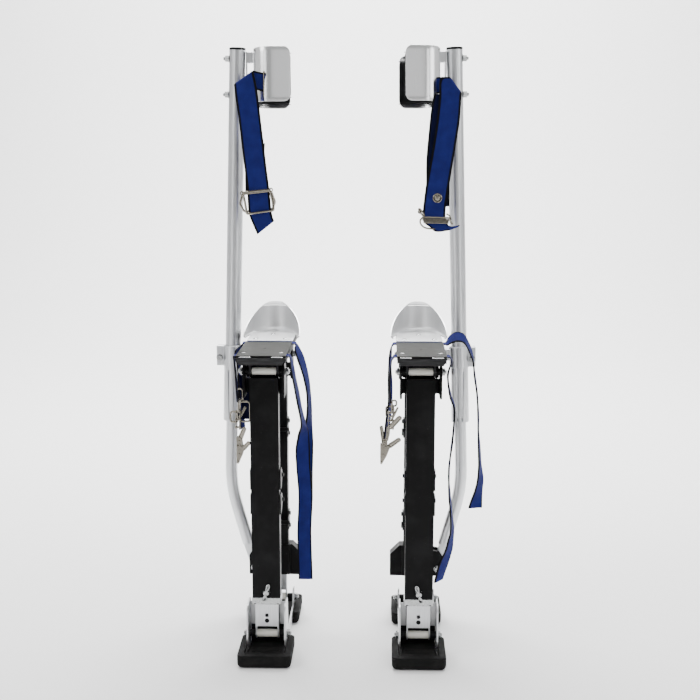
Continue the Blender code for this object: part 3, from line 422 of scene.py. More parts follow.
def cut(obj, *cutters):
    for cutter in cutters:
        modifier = obj.modifiers.new("cut", "BOOLEAN")
        modifier.operation, modifier.object = "DIFFERENCE", cutter
    made = baked(obj)
    for cutter in cutters:
        bpy.data.objects.remove(cutter)
    return made


def eased(obj, width, segments=2, angle=28):
    """Rounds an object's sharp edges."""
    modifier = obj.modifiers.new("ease", "BEVEL")
    modifier.limit_method, modifier.angle_limit = "ANGLE", math.radians(angle)
    modifier.width, modifier.segments = width, segments
    return baked(obj)


def block(low, high, rounding=0.0, segments=3):
    low, high = Vector(low), Vector(high)
    bm = bmesh.new()
    bmesh.ops.create_cube(bm, size=1)
    bmesh.ops.scale(bm, vec=high - low, verts=bm.verts)
    bmesh.ops.translate(bm, vec=(low + high) / 2, verts=bm.verts)
    if rounding:
        bmesh.ops.bevel(bm, geom=list(bm.edges), offset=rounding, segments=segments, profile=0.5,
                        affect="EDGES")
    return new_object(bm)


def slab(half_x, y, z, rounding=0.0, segments=3):
    """A block that lies evenly about a stilt's middle plane, between two Y and two Z places."""
    return block((-half_x, y[0], z[0]), (half_x, y[1], z[1]), rounding, segments)


def stood(bm, start, direction):
    """Turns a shape that was built up from the origin along Z, and moves it to its start."""
    turn = Vector((0, 0, 1)).rotation_difference(Vector(direction)).to_matrix().to_4x4()
    bmesh.ops.transform(bm, matrix=Matrix.Translation(Vector(start)) @ turn, verts=bm.verts)
    return new_object(bm)


def skin(bm, loops):
    """Joins each closed loop of points to the next one with faces."""
    for first, second in zip(loops, loops[1:]):
        for i in range(len(first)):
            k = (i + 1) % len(first)
            bm.faces.new((first[i], first[k], second[k], second[i]))


def turned(profile, start, direction, sides=40, closed=False):
    """A shape turned about an axis from (distance along it, radius) pairs; closed for a ring or a tube."""
    bm = bmesh.new()
    angles = [math.tau * i / sides for i in range(sides)]
    rings = [[bm.verts.new((radius * math.cos(a), radius * math.sin(a), along)) for a in angles]
             for along, radius in profile]
    if closed:
        rings.append(rings[0])
    else:
        bm.faces.new(rings[0])
        bm.faces.new(rings[-1])
    skin(bm, rings)
    bmesh.ops.recalc_face_normals(bm, faces=bm.faces)
    return stood(bm, start, direction)


def domes(profile, places, direction, sides):
    """Rivets or screw heads turned from one profile in millimetres."""
    return joined(*(turned(route(*profile), place, direction, sides) for place in places))


def rod(start, end, radius, ease=0.0005):
    """A round bar with eased ends."""
    start, end = Vector(start), Vector(end)
    length = (end - start).length
    profile = [(0, radius - ease), (ease * 0.3, radius - ease * 0.3), (ease, radius),
               (length - ease, radius), (length - ease * 0.3, radius - ease * 0.3), (length, radius - ease)]
    return turned(profile, start, end - start, 32)


def across(shape, y, z, start, end, radius):
    """A shape that runs along X from start to end."""
    return shape((start, y, z), (end, y, z), radius)


def through(shape, x, z, start, end, radius):
    """A shape that runs along Y, from start to end as distances from the rear axle's plane."""
    return shape((x, REAR_Y + start, z), (x, REAR_Y + end, z), radius)


def thread(start, end, radius, pitch=0.00125):
    """The visible end of a screw: fine grooves and a domed tip."""
    start, end = Vector(start), Vector(end)
    length = (end - start).length
    profile = [(0, radius)]
    at = 0.0
    while at + pitch < length - 0.0006:
        profile += [(at + pitch * 0.5, radius * 0.88), (at + pitch, radius)]
        at += pitch
    profile += [(length - 0.0004, radius * 0.85), (length, radius * 0.55)]
    return turned(profile, start, end - start, 24)


def hexagon(start, end, radius):
    """A nut or a bolt head with its corners chamfered, on a thin round washer."""
    start, run = Vector(start), Vector(end) - Vector(start)
    washer_top = run.normalized() * WASHER
    bm = bmesh.new()
    bmesh.ops.create_cone(bm, cap_ends=True, segments=6, radius1=radius, radius2=radius,
                          depth=run.length - WASHER)
    bmesh.ops.bevel(bm, geom=list(bm.edges), offset=0.0006, segments=2, profile=0.6, affect="EDGES")
    nut = stood(bm, start + run * 0.5 + washer_top / 2, run)
    return joined(nut, rod(start, start + washer_top, radius * 1.16, 0.0003))


def plate(outline, axis, low, high, ease=0.0006):
    """A flat outline made thick along an axis: (X, Z) pairs for Y and (X, Y) pairs for Z."""
    order = {"Y": lambda u, v, w: (u, w, v), "Z": lambda u, v, w: (u, v, w)}[axis]
    bm = bmesh.new()
    face = bm.faces.new([bm.verts.new(order(u, v, low)) for u, v in outline])
    raised = bmesh.ops.extrude_face_region(bm, geom=[face])["geom"]
    shift = Vector(order(0, 0, high - low))
    bmesh.ops.translate(bm, vec=shift, verts=[v for v in raised if isinstance(v, bmesh.types.BMVert)])
    bmesh.ops.recalc_face_normals(bm, faces=bm.faces)
    return eased(new_object(bm), ease)


def arc(centre, radius, start, end, steps=8):
    angles = [math.radians(start + (end - start) * i / steps) for i in range(steps + 1)]
    return [(centre[0] + radius * math.cos(a), centre[1] + radius * math.sin(a)) for a in angles]


def smooth(points, steps, cyclic=False):
    """Catmull-Rom through the given points, each a tuple of numbers."""
    count = len(points)
    route = []
    for i in range(count if cyclic else count - 1):
        near = [points[(i + k) % count if cyclic else min(max(i + k, 0), count - 1)] for k in (-1, 0, 1, 2)]
        for k in range(steps):
            t = k / steps
            route.append(tuple(
                0.5 * (2 * b + (c - a) * t + (2 * a - 5 * b + 4 * c - d) * t**2
                       + (3 * b - a - 3 * c + d) * t**3)
                for a, b, c, d in zip(*near)))
    if not cyclic:
        route.append(tuple(points[-1]))
    return route


def wire(points, radius, cyclic=False, steps=6, resolution=3):
    """A bent wire on a smooth line through the points."""
    curve = bpy.data.curves.new("wire", "CURVE")
    curve.dimensions = "3D"
    curve.bevel_depth, curve.bevel_resolution = radius, resolution
    curve.use_fill_caps = True
    route = smooth(points, steps, cyclic) if steps > 1 else points
    spline = curve.splines.new("POLY")
    spline.points.add(len(route) - 1)
    for point, place in zip(spline.points, route):
        point.co = (*place, 1)
    spline.use_cyclic_u = cyclic
    return baked(shown("wire", curve))


def sheet(rows, thickness):
    """An open grid of points with a thickness half on each side."""
    bm = bmesh.new()
    grid = [[bm.verts.new(point) for point in row] for row in rows]
    for lower, upper in zip(grid, grid[1:]):
        for i in range(len(lower) - 1):
            bm.faces.new((lower[i], lower[i + 1], upper[i + 1], upper[i]))
    obj = new_object(bm)
    solid = obj.modifiers.new("thickness", "SOLIDIFY")
    solid.thickness, solid.offset = thickness, 0
    return eased(obj, thickness * 0.3, 2, 50)


# ---------------------------------------------------------------- setting pieces down
def set_down(name, mesh, body, look, replaced=()):
    piece = shown(name, mesh)
    mesh.name = name
    mesh.materials.clear()
    mesh.materials.append(look)
    if look is not PAD:
        even = piece.modifiers.new("even_shading", "WEIGHTED_NORMAL")
        even.keep_sharp, even.weight = True, 100
    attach(piece, body)
    if replaced:
        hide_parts(*replaced)
    return piece


def smooth_shaded(obj, sharp):
    obj.data.shade_smooth()
    obj.data.set_sharp_from_angle(angle=math.radians(sharp))


def yawed(mesh, side, sign):
    """Turns a mesh that stands in the world about its stilt's pole."""
    foot, head = (CENTRE[side] + Vector((sign * pole_point(z).x, REAR_Y, z)) for z in (0, 1))
    mesh.transform(Matrix.Translation(foot) @ Matrix.Rotation(CALF_YAW, 4, head - foot)
                   @ Matrix.Translation(-foot))


def rider(side, body):
    """The name of a stilt's body. Both floor channels stand on the one floor."""
    return body if body == "floor" else f"{side}_{body}"


def put(made, name, body, look, replaced=(), sharp=35):
    """Sets a shape down on both stilts, riding its stilt's body, and gives back the two pieces."""
    smooth_shaded(made, sharp)
    pieces = []
    for side, sign in SIDES.items():
        mesh = made.data.copy()
        mesh.transform(Matrix.Translation(CENTRE[side]) @ Matrix.Diagonal((sign, 1, 1, 1)))
        if body == "calf_rest":
            yawed(mesh, side, sign)
        if sign < 0:
            mesh.flip_normals()
        nodes = [f"{side}_{node}" for node in replaced]
        pieces.append(set_down(f"{side}_{name}", mesh, rider(side, body), look, nodes))
    bpy.data.objects.remove(made)
    return pieces


def put_pair(made, name, body, look, replaced=(), sharp=35):
    """Sets down a shape made in the pair's coordinates."""
    smooth_shaded(made, sharp)
    made.data.transform(Matrix.Translation(PAIR))
    set_down(name, made.data, body, look, replaced)
    bpy.data.objects.remove(made)


def eased_node(node, width, body, look, trims=()):
    """Stands a copy of a CAD node with softened edges in its place, on both stilts."""
    for side in SIDES:
        bm = bmesh.new()
        bm.from_mesh(NODES[f"{side}_{node}"].data)
        bmesh.ops.remove_doubles(bm, verts=bm.verts, dist=2e-6)
        bmesh.ops.dissolve_limit(bm, angle_limit=math.radians(0.6), verts=bm.verts, edges=bm.edges)
        shape = new_object(bm)
        if trims:
            shift = CENTRE[side]
            shape = cut(shape, *(block(Vector(low) + shift, Vector(high) + shift) for low, high in trims))
        made = eased(shape, width, angle=32)
        if node == "calf_arm":
            yawed(made.data, side, SIDES[side])
        smooth_shaded(made, 32)
        set_down(f"{side}_{node}_shell", made.data, rider(side, body), look, [f"{side}_{node}"])
        bpy.data.objects.remove(made)


# ---------------------------------------------------------------- feet and floor channel
SHOE_ROUNDING, TREAD_DEPTH, POCKET_TOP = 0.0095, 0.0022, 0.05
GROOVES, GROOVE_MARGIN, RIBS, RIB_MARGIN, RIB_Z = 8, 0.016, 6, 0.024, (0.0115, 0.0215)
BELOW = -0.004   # where a cutter starts under the floor
CHANNEL_TOP = FOOT_SOLE + 0.0033      # the top of the channel's floor
TRAY_Y = (FRONT_FOOT_Y[0] + FOOT_WALL + 0.0012, FRONT_Y - 0.0275)


def rubber_shoe(y_range, open_front):
    """A moulded shoe: round lower edges, a pocket for the channel, ribs on its flanks and a tread."""
    y_low, y_high = y_range
    bm = bmesh.new()
    bmesh.ops.create_cube(bm, size=1)
    bmesh.ops.scale(bm, vec=(2 * FOOT_HALF_X, y_high - y_low, FOOT_HEIGHT), verts=bm.verts)
    bmesh.ops.translate(bm, vec=(0, (y_low + y_high) / 2, FOOT_HEIGHT / 2), verts=bm.verts)
    lower = [e for e in bm.edges if not all(v.co.z > FOOT_HEIGHT - 1e-4 for v in e.verts)]
    bmesh.ops.bevel(bm, geom=lower, offset=SHOE_ROUNDING, segments=6, profile=0.5, affect="EDGES")
    shoe = eased(new_object(bm), 0.0018, 3, 40)
    pocket_low = y_low - 0.02 if open_front else y_low + FOOT_WALL
    pocket_high = y_high - FOOT_WALL if open_front else y_high + 0.02
    cutters = [slab(CHANNEL_HALF_X + 0.001, (pocket_low, pocket_high), (FOOT_SOLE, POCKET_TOP), 0.002)]
    for i in range(GROOVES):
        y = y_low + GROOVE_MARGIN + (y_high - y_low - 2 * GROOVE_MARGIN) * i / (GROOVES - 1)
        cutters.append(slab(0.047, (y - 0.0013, y + 0.0013), (BELOW, TREAD_DEPTH)))
    cutters.append(slab(0.0015, (y_low + 0.010, y_high - 0.010), (BELOW, TREAD_DEPTH)))
    ribs = []
    for x in (0.0003 - FOOT_HALF_X, FOOT_HALF_X - 0.0003):
        for k in range(RIBS):
            y = y_low + RIB_MARGIN + (y_high - y_low - 2 * RIB_MARGIN) * k / (RIBS - 1)
            ribs.append(block((x - 0.0006, y - 0.0035, RIB_Z[0]), (x + 0.0006, y + 0.0035, RIB_Z[1]),
                              0.0005, 2))
    return joined(cut(shoe, *cutters), *ribs)


def channel_liner():
    """The mat on the channel's floor, the front tray with its grips, and the bumper behind the ears."""
    inside, tray_half = CHANNEL_HALF_X - 0.0036, CHANNEL_HALF_X - 0.0002
    front, back = TRAY_Y
    mat = slab(inside, (FRONT_FOOT_Y[0] + FOOT_WALL + 0.002, REAR_FOOT_Y[1] - FOOT_WALL - 0.002),
               (CHANNEL_TOP, CHANNEL_TOP + 0.0030), 0.0010)
    tray = slab(tray_half, TRAY_Y, (CHANNEL_TOP, FOOT_HEIGHT - 0.0004), 0.0016)
    wide, narrow = tray_half - 0.004, tray_half - 0.008
    dish = [(-wide, front + 0.004), (wide, front + 0.004), (narrow, back + 0.01), (-narrow, back + 0.01)]
    tray = cut(tray, plate(dish, "Z", FOOT_HEIGHT - 0.0036, FOOT_HEIGHT + 0.01))
    grips = [slab(inside - 0.008, (front + 0.009 + 0.0065 * i, front + 0.0115 + 0.0065 * i),
                  (FOOT_HEIGHT - 0.0040, FOOT_HEIGHT - 0.0029), 0.0005, 2) for i in range(4)]
    bumper = slab(0.0345, (FRONT_Y + 0.0185, FRONT_Y + 0.0255), (CHANNEL_TOP + 0.001, LOWER_Z + 0.0130),
                  0.002)
    return joined(mat, tray, bumper, *grips)


def ear_returns():
    """The front ears' inward edges."""
    low, high = 0.0242, CHANNEL_HALF_X - 0.0032
    y_low, y_high, z_low, z_high = FRONT_Y + 0.0120, FRONT_Y + 0.0142, LOWER_Z + 0.0135, 0.1010
    return joined(*(block((x, y_low, z_low), (x_end, y_high, z_high), 0.0006, 2)
                    for x, x_end in ((low, high), (-high, -low))))


def feet():
    put(rubber_shoe(FRONT_FOOT_Y, False), "front_rubber_shoe", "floor", RUBBER, ["front_foot"])
    put(rubber_shoe(REAR_FOOT_Y, True), "rear_rubber_shoe", "floor", RUBBER, ["rear_foot"])
    walls = [((x - 0.004, FRONT_FOOT_Y[0], FOOT_SOLE + 0.0040), (x + 0.004, FRONT_Y - 0.0265, LOWER_Z))
             for x in (-CHANNEL_HALF_X, CHANNEL_HALF_X)]
    eased_node("floor_channel", 0.0006, "floor", SHEET, walls)
    put(channel_liner(), "channel_liner", "floor", RUBBER)
    put(ear_returns(), "front_ear_returns", "floor", BRACKET)


# ---------------------------------------------------------------- pivots
LOWER_SPACER, UPPER_SPACER = (0.0240, 0.0350), (0.0289, 0.0356)   # from one end to the other, along X
HEAD_NUT_REACH = 0.011   # the rear head's bolt also holds the pole's clamp


def spool(y, z):
    """A nylon bush with eased ends and a fine groove near each."""
    end, groove = BUSH_HALF, BUSH_HALF - 0.0040
    r = BUSH_RADIUS - 0.0004
    profile = [(0, r - 0.0010), (0.0004, r - 0.0003), (0.0010, r), (end - groove - 0.0004, r),
               (end - groove, r - 0.0004), (end - groove + 0.0004, r)]
    profile += [(2 * end - a, radius) for a, radius in reversed(profile)]
    return turned(profile, (-end, y, z), (1, 0, 0), 48)


def spacer_pair(y, z, spacer):
    low, high = spacer
    return joined(across(rod, y, z, low, high, 0.0068), across(rod, y, z, -high, -low, 0.0068))


def pivot_hardware(y, z, ear_face, reach_out=0.0):
    """A bolt head outside one ear, and a nut and a thread end outside the other."""
    grip = ear_face + 0.0003
    thread_start = grip if reach_out else grip + 0.0050
    parts = [across(hexagon, y, z, -grip, -grip - 0.0058, 0.0075),
             across(thread, y, z, -grip - 0.0050, -grip - 0.0090, BOLT_RADIUS),
             across(thread, y, z, thread_start, grip + 0.0090 + reach_out, BOLT_RADIUS),
             across(rod, y, z, -ear_face - 0.001, ear_face + 0.001, BOLT_RADIUS)]
    if not reach_out:
        parts.append(across(hexagon, y, z, grip, grip + 0.0058, 0.0075))
    return joined(*parts)


def pivots():
    for end, y, reach_out in (("front", FRONT_Y, 0.0), ("rear", REAR_Y, HEAD_NUT_REACH)):
        leg = f"{end}_upper_leg"
        put(pivot_hardware(y, LOWER_Z, CHANNEL_HALF_X), f"{end}_axle", "floor", ZINC, [f"{end}_lower_bolt"])
        put(pivot_hardware(y, UPPER_Z, HEAD_EAR_OUT, reach_out), f"{end}_head_axle", leg, ZINC,
            [f"{end}_upper_bolt"])
        put(spacer_pair(y, LOWER_Z, LOWER_SPACER), f"{end}_spacers", "floor", CAP)
        put(spacer_pair(y, UPPER_Z, UPPER_SPACER), f"{end}_head_spacers", leg, CAP)
    put(spool(FRONT_Y, LOWER_Z), "front_spool", "floor", NYLON, ["front_lower_bush"])
    put(spool(REAR_Y, LOWER_Z), "rear_spool", "floor", NYLON)
    put(spool(FRONT_Y, UPPER_Z), "front_head_spool", "front_upper_leg", NYLON, ["front_upper_bush"])
    put(spool(REAR_Y, UPPER_Z), "rear_head_spool", "rear_upper_leg", NYLON)
    backing = slab(0.0350, (FRONT_Y + 0.0105, FRONT_Y + 0.0135), (UPPER_Z - 0.014, UPPER_Z + 0.012),
                   0.0008, 2)
    put(backing, "front_head_backing", "front_upper_leg", PAINT)


# ---------------------------------------------------------------- struts and springs
COLLAR_Z, COLLAR_WALL = (0.1046, 0.1185), 0.0012
PLUG_Y, PLUG_Z = FRONT_Y - 0.0100, 0.0690
COIL_TURNS, COIL_STEPS, COIL_RADIUS, COIL_WIRE, COIL_INSET = 26, 18, 0.0092, 0.0013, 0.0175
WING_HALF = (0.0040, 0.0024, 0.0085)


def wing_screw(face):
    """A cast wing screw, its wings upright, screwed in from the toe side at the given face."""
    profile = route((0, 7.8), (1, 8), (3, 7.2), (7.5, 6.2), (9, 5.4), (9.6, 4), (9.2, 2.6))
    parts = [turned(profile, (0, face, WING_Z), (0, -1, 0)),
             rod((0, face - 0.001, WING_Z), (0, face + 0.0035, WING_Z), BOLT_RADIUS)]
    for side in (-1, 1):
        bm = bmesh.new()
        bmesh.ops.create_uvsphere(bm, u_segments=20, v_segments=14, radius=1)
        for vert in bm.verts:
            swell = 1 + 0.35 * vert.co.z * side
            vert.co.x *= WING_HALF[0] * swell
            vert.co.y *= WING_HALF[1]
            vert.co.z *= WING_HALF[2]
        place = (Matrix.Translation((-side * 0.0028, face - 0.0075, WING_Z + side * 0.0098))
                 @ Matrix.Rotation(-side * math.radians(20), 4, "X")
                 @ Matrix.Rotation(-math.radians(16), 4, "Y"))
        bmesh.ops.transform(bm, matrix=place, verts=bm.verts)
        parts.append(new_object(bm))
    return joined(*parts)


def strut_collar():
    """A bright sleeve round the lower end of a front strut, with a scalloped lower edge."""
    low, high = COLLAR_Z
    x, y = OUTER_HALF_X + COLLAR_WALL, OUTER_HALF_Y + COLLAR_WALL
    shell = slab(x, (FRONT_Y - y, FRONT_Y + y), COLLAR_Z, 0.0010)
    bore = slab(OUTER_HALF_X, (FRONT_Y - OUTER_HALF_Y, FRONT_Y + OUTER_HALF_Y), (low - 0.01, high + 0.01))
    scallops = [rod((side * x, FRONT_Y - 0.03, z), (side * x, FRONT_Y + 0.03, z), radius)
                for x, z, radius in ((0.0225, low - 0.0006, 0.0034), (0.0085, low - 0.0110, 0.0125))
                for side in (-1, 1)]
    return cut(shell, bore, *scallops)


def spring_parts(z_pair):
    """A guide rod with eyes and seats, and the coil spring round it."""
    front, rear = Vector((0, -SPRING_PIN_Y, z_pair[0])), Vector((0, SPRING_PIN_Y, z_pair[1]))
    along = (rear - front).normalized()
    side = Vector((1, 0, 0))
    out = along.cross(side)
    first, last = front + along * COIL_INSET, rear - along * COIL_INSET
    length = (last - first).length
    points = []
    for i in range(COIL_TURNS * COIL_STEPS + 1):
        angle = math.tau * i / COIL_STEPS
        reach = first + along * (length * i / (COIL_TURNS * COIL_STEPS))
        points.append(tuple(reach + COIL_RADIUS * (math.cos(angle) * side + math.sin(angle) * out)))
    coil = wire(points, COIL_WIRE, steps=1, resolution=2)
    eye_profile = route((-6, 4.6), (-6, 7.8), (-5.5, 8.3), (5.5, 8.3), (6, 7.8), (6, 4.6))
    seat_profile = route((0, 4.6), (0, 10.4), (0.6, 11), (2.4, 11), (3, 10.4), (3, 4.6))
    parts = [rod(front + along * 0.0075, rear - along * 0.0075, 0.0040)]
    parts += [turned(eye_profile, end, (1, 0, 0), 32, closed=True) for end in (front, rear)]
    parts += [turned(seat_profile, at, along, closed=True)
              for at in (first - along * 0.0036, last + along * 0.0006)]
    return joined(*parts), coil


def struts():
    for end in ("front", "rear"):
        eased_node(f"{end}_inner_strut", 0.0006, f"{end}_lower_leg", TUBE)
        eased_node(f"{end}_outer_strut", 0.0008, f"{end}_upper_leg", PAINT)
    put(wing_screw(FRONT_Y - OUTER_HALF_Y - 0.0003), "wing_screw_casting", "wing_screw", ZINC,
        ["front_wing_bolt"])
    put(wing_screw(REAR_Y - 0.0178), "rear_wing_screw", "rear_upper_leg", ZINC)
    put(strut_collar(), "front_strut_collar", "front_upper_leg", ZINC)
    plug = domes([(0, 4.6), (0.5, 4.4), (0.7, 3), (0.4, 1.6), (0.4, 0.6)], [(0, PLUG_Y, PLUG_Z)],
                 (0, -1, 0), 28)
    put(plug, "front_strut_plug", "front_lower_leg", CAP)
    for level, z_pair in (("upper", UPPER_SPRING_Z), ("lower", LOWER_SPRING_Z)):
        guide, coil = spring_parts(z_pair)
        put(guide, f"{level}_spring_guide", f"{level}_spring_unit", ZINC, [f"{level}_spring"])
        put(coil, f"{level}_spring_coil", f"{level}_spring_unit", ZINC)


# ---------------------------------------------------------------- platform and heel
EYELET_X, EYELET_Y, EYELET_HALF, EYELET_RADIUS = 0.030, -0.1540, 0.0075, 0.0032
SOLE_RIVET_X, SOLE_RIVET_Y = 0.036, -0.128
HEEL_SCREWS = ((-0.030, 0.030), (0.030, 0.030), (0, 0.088))
# How far the bowl stands out at a height: round at its foot, drawn in, then flared at the crease
CUP_WALL = ((0.0, 0.790), (0.0010, 0.880), (0.0030, 0.950), (0.008, 0.993), (0.020, 1.0), (0.034, 0.992),
            (0.0535, 0.958), (0.0548, 0.958), (CUP_HEIGHT, 1.015), (0.0700, 1.015))
CUP_SEAT, CREASE = PLATE_BOTTOM + 0.0013, 0.054


def slot_liner(x):
    """A bright oval eyelet in the pan's front lip."""
    loop = arc((x + EYELET_HALF, EYELET_Y), EYELET_RADIUS, -90, 90)
    loop += arc((x - EYELET_HALF, EYELET_Y), EYELET_RADIUS, 90, 270)
    return wire([(*place, PAN_TOP + 0.0006) for place in loop], 0.0011, True, 1)


def platform():
    eased_node("platform_pan", 0.0005, "platform", PAN)
    eased_node("sole_plate", 0.0005, "platform", BRUSHED)
    put(joined(slot_liner(-EYELET_X), slot_liner(EYELET_X)), "lip_eyelets", "platform", POLISHED)
    gasket = slab(0.0455, (-0.1549, -0.1528), (PAN_TOP + 0.0002, PLATE_BOTTOM - 0.0002), 0.0004, 2)
    put(gasket, "sole_plate_gasket", "platform", RUBBER)
    places = [(x, SOLE_RIVET_Y, PLATE_BOTTOM + 0.0021) for x in (-SOLE_RIVET_X, SOLE_RIVET_X)]
    rivets = domes([(0, 3.6), (0.4, 3.4), (0.7, 2.2), (0.8, 0.8)], places, (0, 0, 1), 24)
    put(rivets, "sole_plate_rivets", "platform", ZINC)


def cup_wall_out(height):
    for (low, first), (high, second) in zip(CUP_WALL, CUP_WALL[1:]):
        if height <= high:
            return first + (second - first) * (height - low) / (high - low)
    return CUP_WALL[-1][1]


def cup_rim(share):
    """The height of the bowl's rim, from its back (0) to a front end (1): a pointed arch."""
    return CUP_RIM_LOW + (CUP_HEIGHT - CUP_RIM_LOW) * (1 - share) * (1 + 1.25 * share * (1 - share))


def cup_y(out, angle):
    return CUP_FRONT + (CUP_BACK - CUP_FRONT) * out * max(math.cos(angle), 0) ** 0.85


def heel_bowl():
    """The polished heel bowl: a deep pressed wall whose rim is a tall arch, a bead along its crease,
    and its plate."""
    columns, levels, bead_steps = 48, 30, 32
    rows = []
    for k in range(levels + 1):
        level = 0.5 - 0.5 * math.cos(math.pi * k / levels)
        row = []
        for i in range(columns + 1):
            share = 2 * i / columns - 1
            angle = share * math.pi / 2
            height = level * cup_rim(abs(share))
            out = cup_wall_out(height)
            x = CUP_HALF_X * (1 - 0.45 * (1 - out)) * math.sin(angle)
            row.append((x, cup_y(out, angle) - 0.001, CUP_SEAT + height))
        rows.append(row)
    bead = []
    for i in range(bead_steps + 1):
        angle = (2 * i / bead_steps - 1) * 0.27 * math.pi / 2
        y = cup_y(cup_wall_out(CREASE), angle) - 0.0022
        bead.append((CUP_HALF_X * 0.981 * math.sin(angle), y, CUP_SEAT + CREASE))
    bowl = joined(sheet(rows, 0.0019), wire(bead, 0.0011, steps=1))
    corner = 0.004
    outline = arc((-PAN_HALF_X + corner, HEEL_Y[0] + corner), corner, 180, 270, 4)
    outline += arc((PAN_HALF_X - corner, HEEL_Y[0] + corner), corner, 270, 360, 4)
    outline += arc((0, HEEL_Y[1] - PAN_HALF_X), PAN_HALF_X, 0, 180, 20)
    return joined(bowl, plate(outline, "Z", PLATE_BOTTOM, PLATE_BOTTOM + 0.0025, 0.0005))


def heel():
    put(heel_bowl(), "heel_bowl", "heel", SATIN, ["heel_cup"], sharp=50)
    places = [(x, y, PLATE_BOTTOM + 0.0024) for x, y in HEEL_SCREWS]
    screws = domes([(0, 5.2), (0.8, 5), (1.6, 3.6), (1.9, 1.2)], places, (0, 0, 1), 28)
    put(screws, "heel_screws", "heel", ZINC)


# ---------------------------------------------------------------- leg pole
CLAMP_BOLT_Z, CLAMP_HEIGHT = 0.564, 0.043
FOOT_BOLT_PARTS = ((hexagon, -14.3, -19.9, 6.8), (hexagon, 14.3, 19.9, 6.8), (thread, 19.3, 21.8, 4))
CLAMP_BOLT_PARTS = ((hexagon, -10.1, -16.5, 6.2), (hexagon, 10.1, 16, 6.2), (rod, -12, 12, 3.5),
                    (thread, 15.5, 17.5, 3.5))


def pole_point(z):
    return Vector((POLE_X - (z - POLE_CLAMP_Z) * math.tan(POLE_LEAN), REAR_Y, z))


def pole_foot_point(z):
    return Vector((FOOT_BOLT_X + (z - FOOT_BOLT_Z) * math.tan(FOOT_HEADING), REAR_Y, z))


def bent_tube():
    """The lower pole: straight out of the casting, one gentle bend, and up inside the upper pole."""
    lean, heading = math.tan(POLE_LEAN), math.tan(FOOT_HEADING)
    meeting = (POLE_X + POLE_CLAMP_Z * lean - FOOT_BOLT_X + FOOT_BOLT_Z * heading) / (heading + lean)
    turn = FOOT_HEADING + POLE_LEAN
    ahead = Vector((math.sin(FOOT_HEADING), 0, math.cos(FOOT_HEADING)))
    at = pole_foot_point(meeting) - BEND_RADIUS * math.tan(turn / 2) * ahead
    line = [pole_foot_point(0.160), at.copy()]
    steps = 24
    for i in range(steps):
        angle = FOOT_HEADING - turn * (i + 0.5) / steps
        at = at + BEND_RADIUS * turn / steps * Vector((math.sin(angle), 0, math.cos(angle)))
        line.append(at.copy())
    line.append(pole_point(TUBE_TOP))
    tube = wire([tuple(place) for place in line], TUBE_RADIUS, steps=1, resolution=10)
    side = Vector((math.cos(FOOT_HEADING), 0, -math.sin(FOOT_HEADING)))
    low, high = pole_foot_point(0.099), pole_foot_point(0.172)
    corners = [low - side * 0.008, low + side * 0.007, high + side * 0.0105, high - side * 0.0105]
    tang = plate([(place.x, place.z) for place in corners], "Y", REAR_Y - 0.008, REAR_Y + 0.008, 0.0016)
    return joined(tube, tang)


def bolt_through(x, z, parts):
    """A bolt along Y from parts with their start, end and radius in millimetres."""
    return joined(*(through(shape, x, z, *mm(*lengths)) for shape, *lengths in parts))


def clamp():
    """The slotted sleeve with its split clamp and the lug that the rear head's bolt holds."""
    up = (pole_point(1.0) - pole_point(0.0)).normalized()
    low, high = pole_point(SLEEVE_BOTTOM), pole_point(CLAMP_TOP)
    length, e, top = (high - low).length, 0.0005, CLAMP_HEIGHT
    r = SLEEVE_RADIUS
    sleeve = turned([(0, SLEEVE_BORE), (0, r - e), (e, r), (length - e, r), (length, r - e),
                     (length, SLEEVE_BORE)], low, up, 56, closed=True)
    x = pole_point((CLAMP_BOTTOM + CLAMP_TOP) / 2).x
    slot = block((x - 0.0035, REAR_Y - 0.03, 0.40), (x + 0.0095, REAR_Y, CLAMP_BOTTOM - 0.006), 0.002)
    lug = block((x + 0.0155, REAR_Y - 0.010, CLAMP_BOTTOM + 0.002),
                (x + 0.0335, REAR_Y + 0.010, CLAMP_TOP - 0.001), 0.0022)
    split = block((x + 0.010, REAR_Y - 0.0011, 0.40), (x + 0.05, REAR_Y + 0.0011, 0.62))
    inner = block((HEAD_EAR_OUT + 0.0012, REAR_Y - 0.011, UPPER_Z - 0.012),
                  (x - 0.0155, REAR_Y + 0.011, UPPER_Z + 0.012), 0.0020)
    inside, outside = r - 0.0003, r + 0.0021
    band = turned([(0, inside), (0, outside - e), (e, outside), (top - e, outside), (top, outside - e),
                   (top, inside)], pole_point(CLAMP_BOTTOM + 0.001), up, 56, closed=True)
    return joined(cut(sleeve, slot), cut(lug, split), inner, band)


def upper_pole():
    low, high = pole_point(POLE_BOTTOM), pole_point(POLE_TOP - 0.0040)
    length, r, e = (high - low).length, POLE_RADIUS, 0.0005
    tube = turned([(0, TUBE_BORE), (0, r - e), (e, r), (length - e, r), (length, r - e), (length, TUBE_BORE)],
                  low, high - low, 64, closed=True)
    plug = TUBE_BORE - 0.0004
    cap = turned([(-0.012, plug), (0, plug), (0, r + 0.0001), (0.0006, r + 0.0004), (0.0033, r + 0.0004),
                  (0.0042, r - 0.0006), (0.0046, r - 0.0030), (0.0047, 0.002)], high, high - low, 56)
    return tube, cap


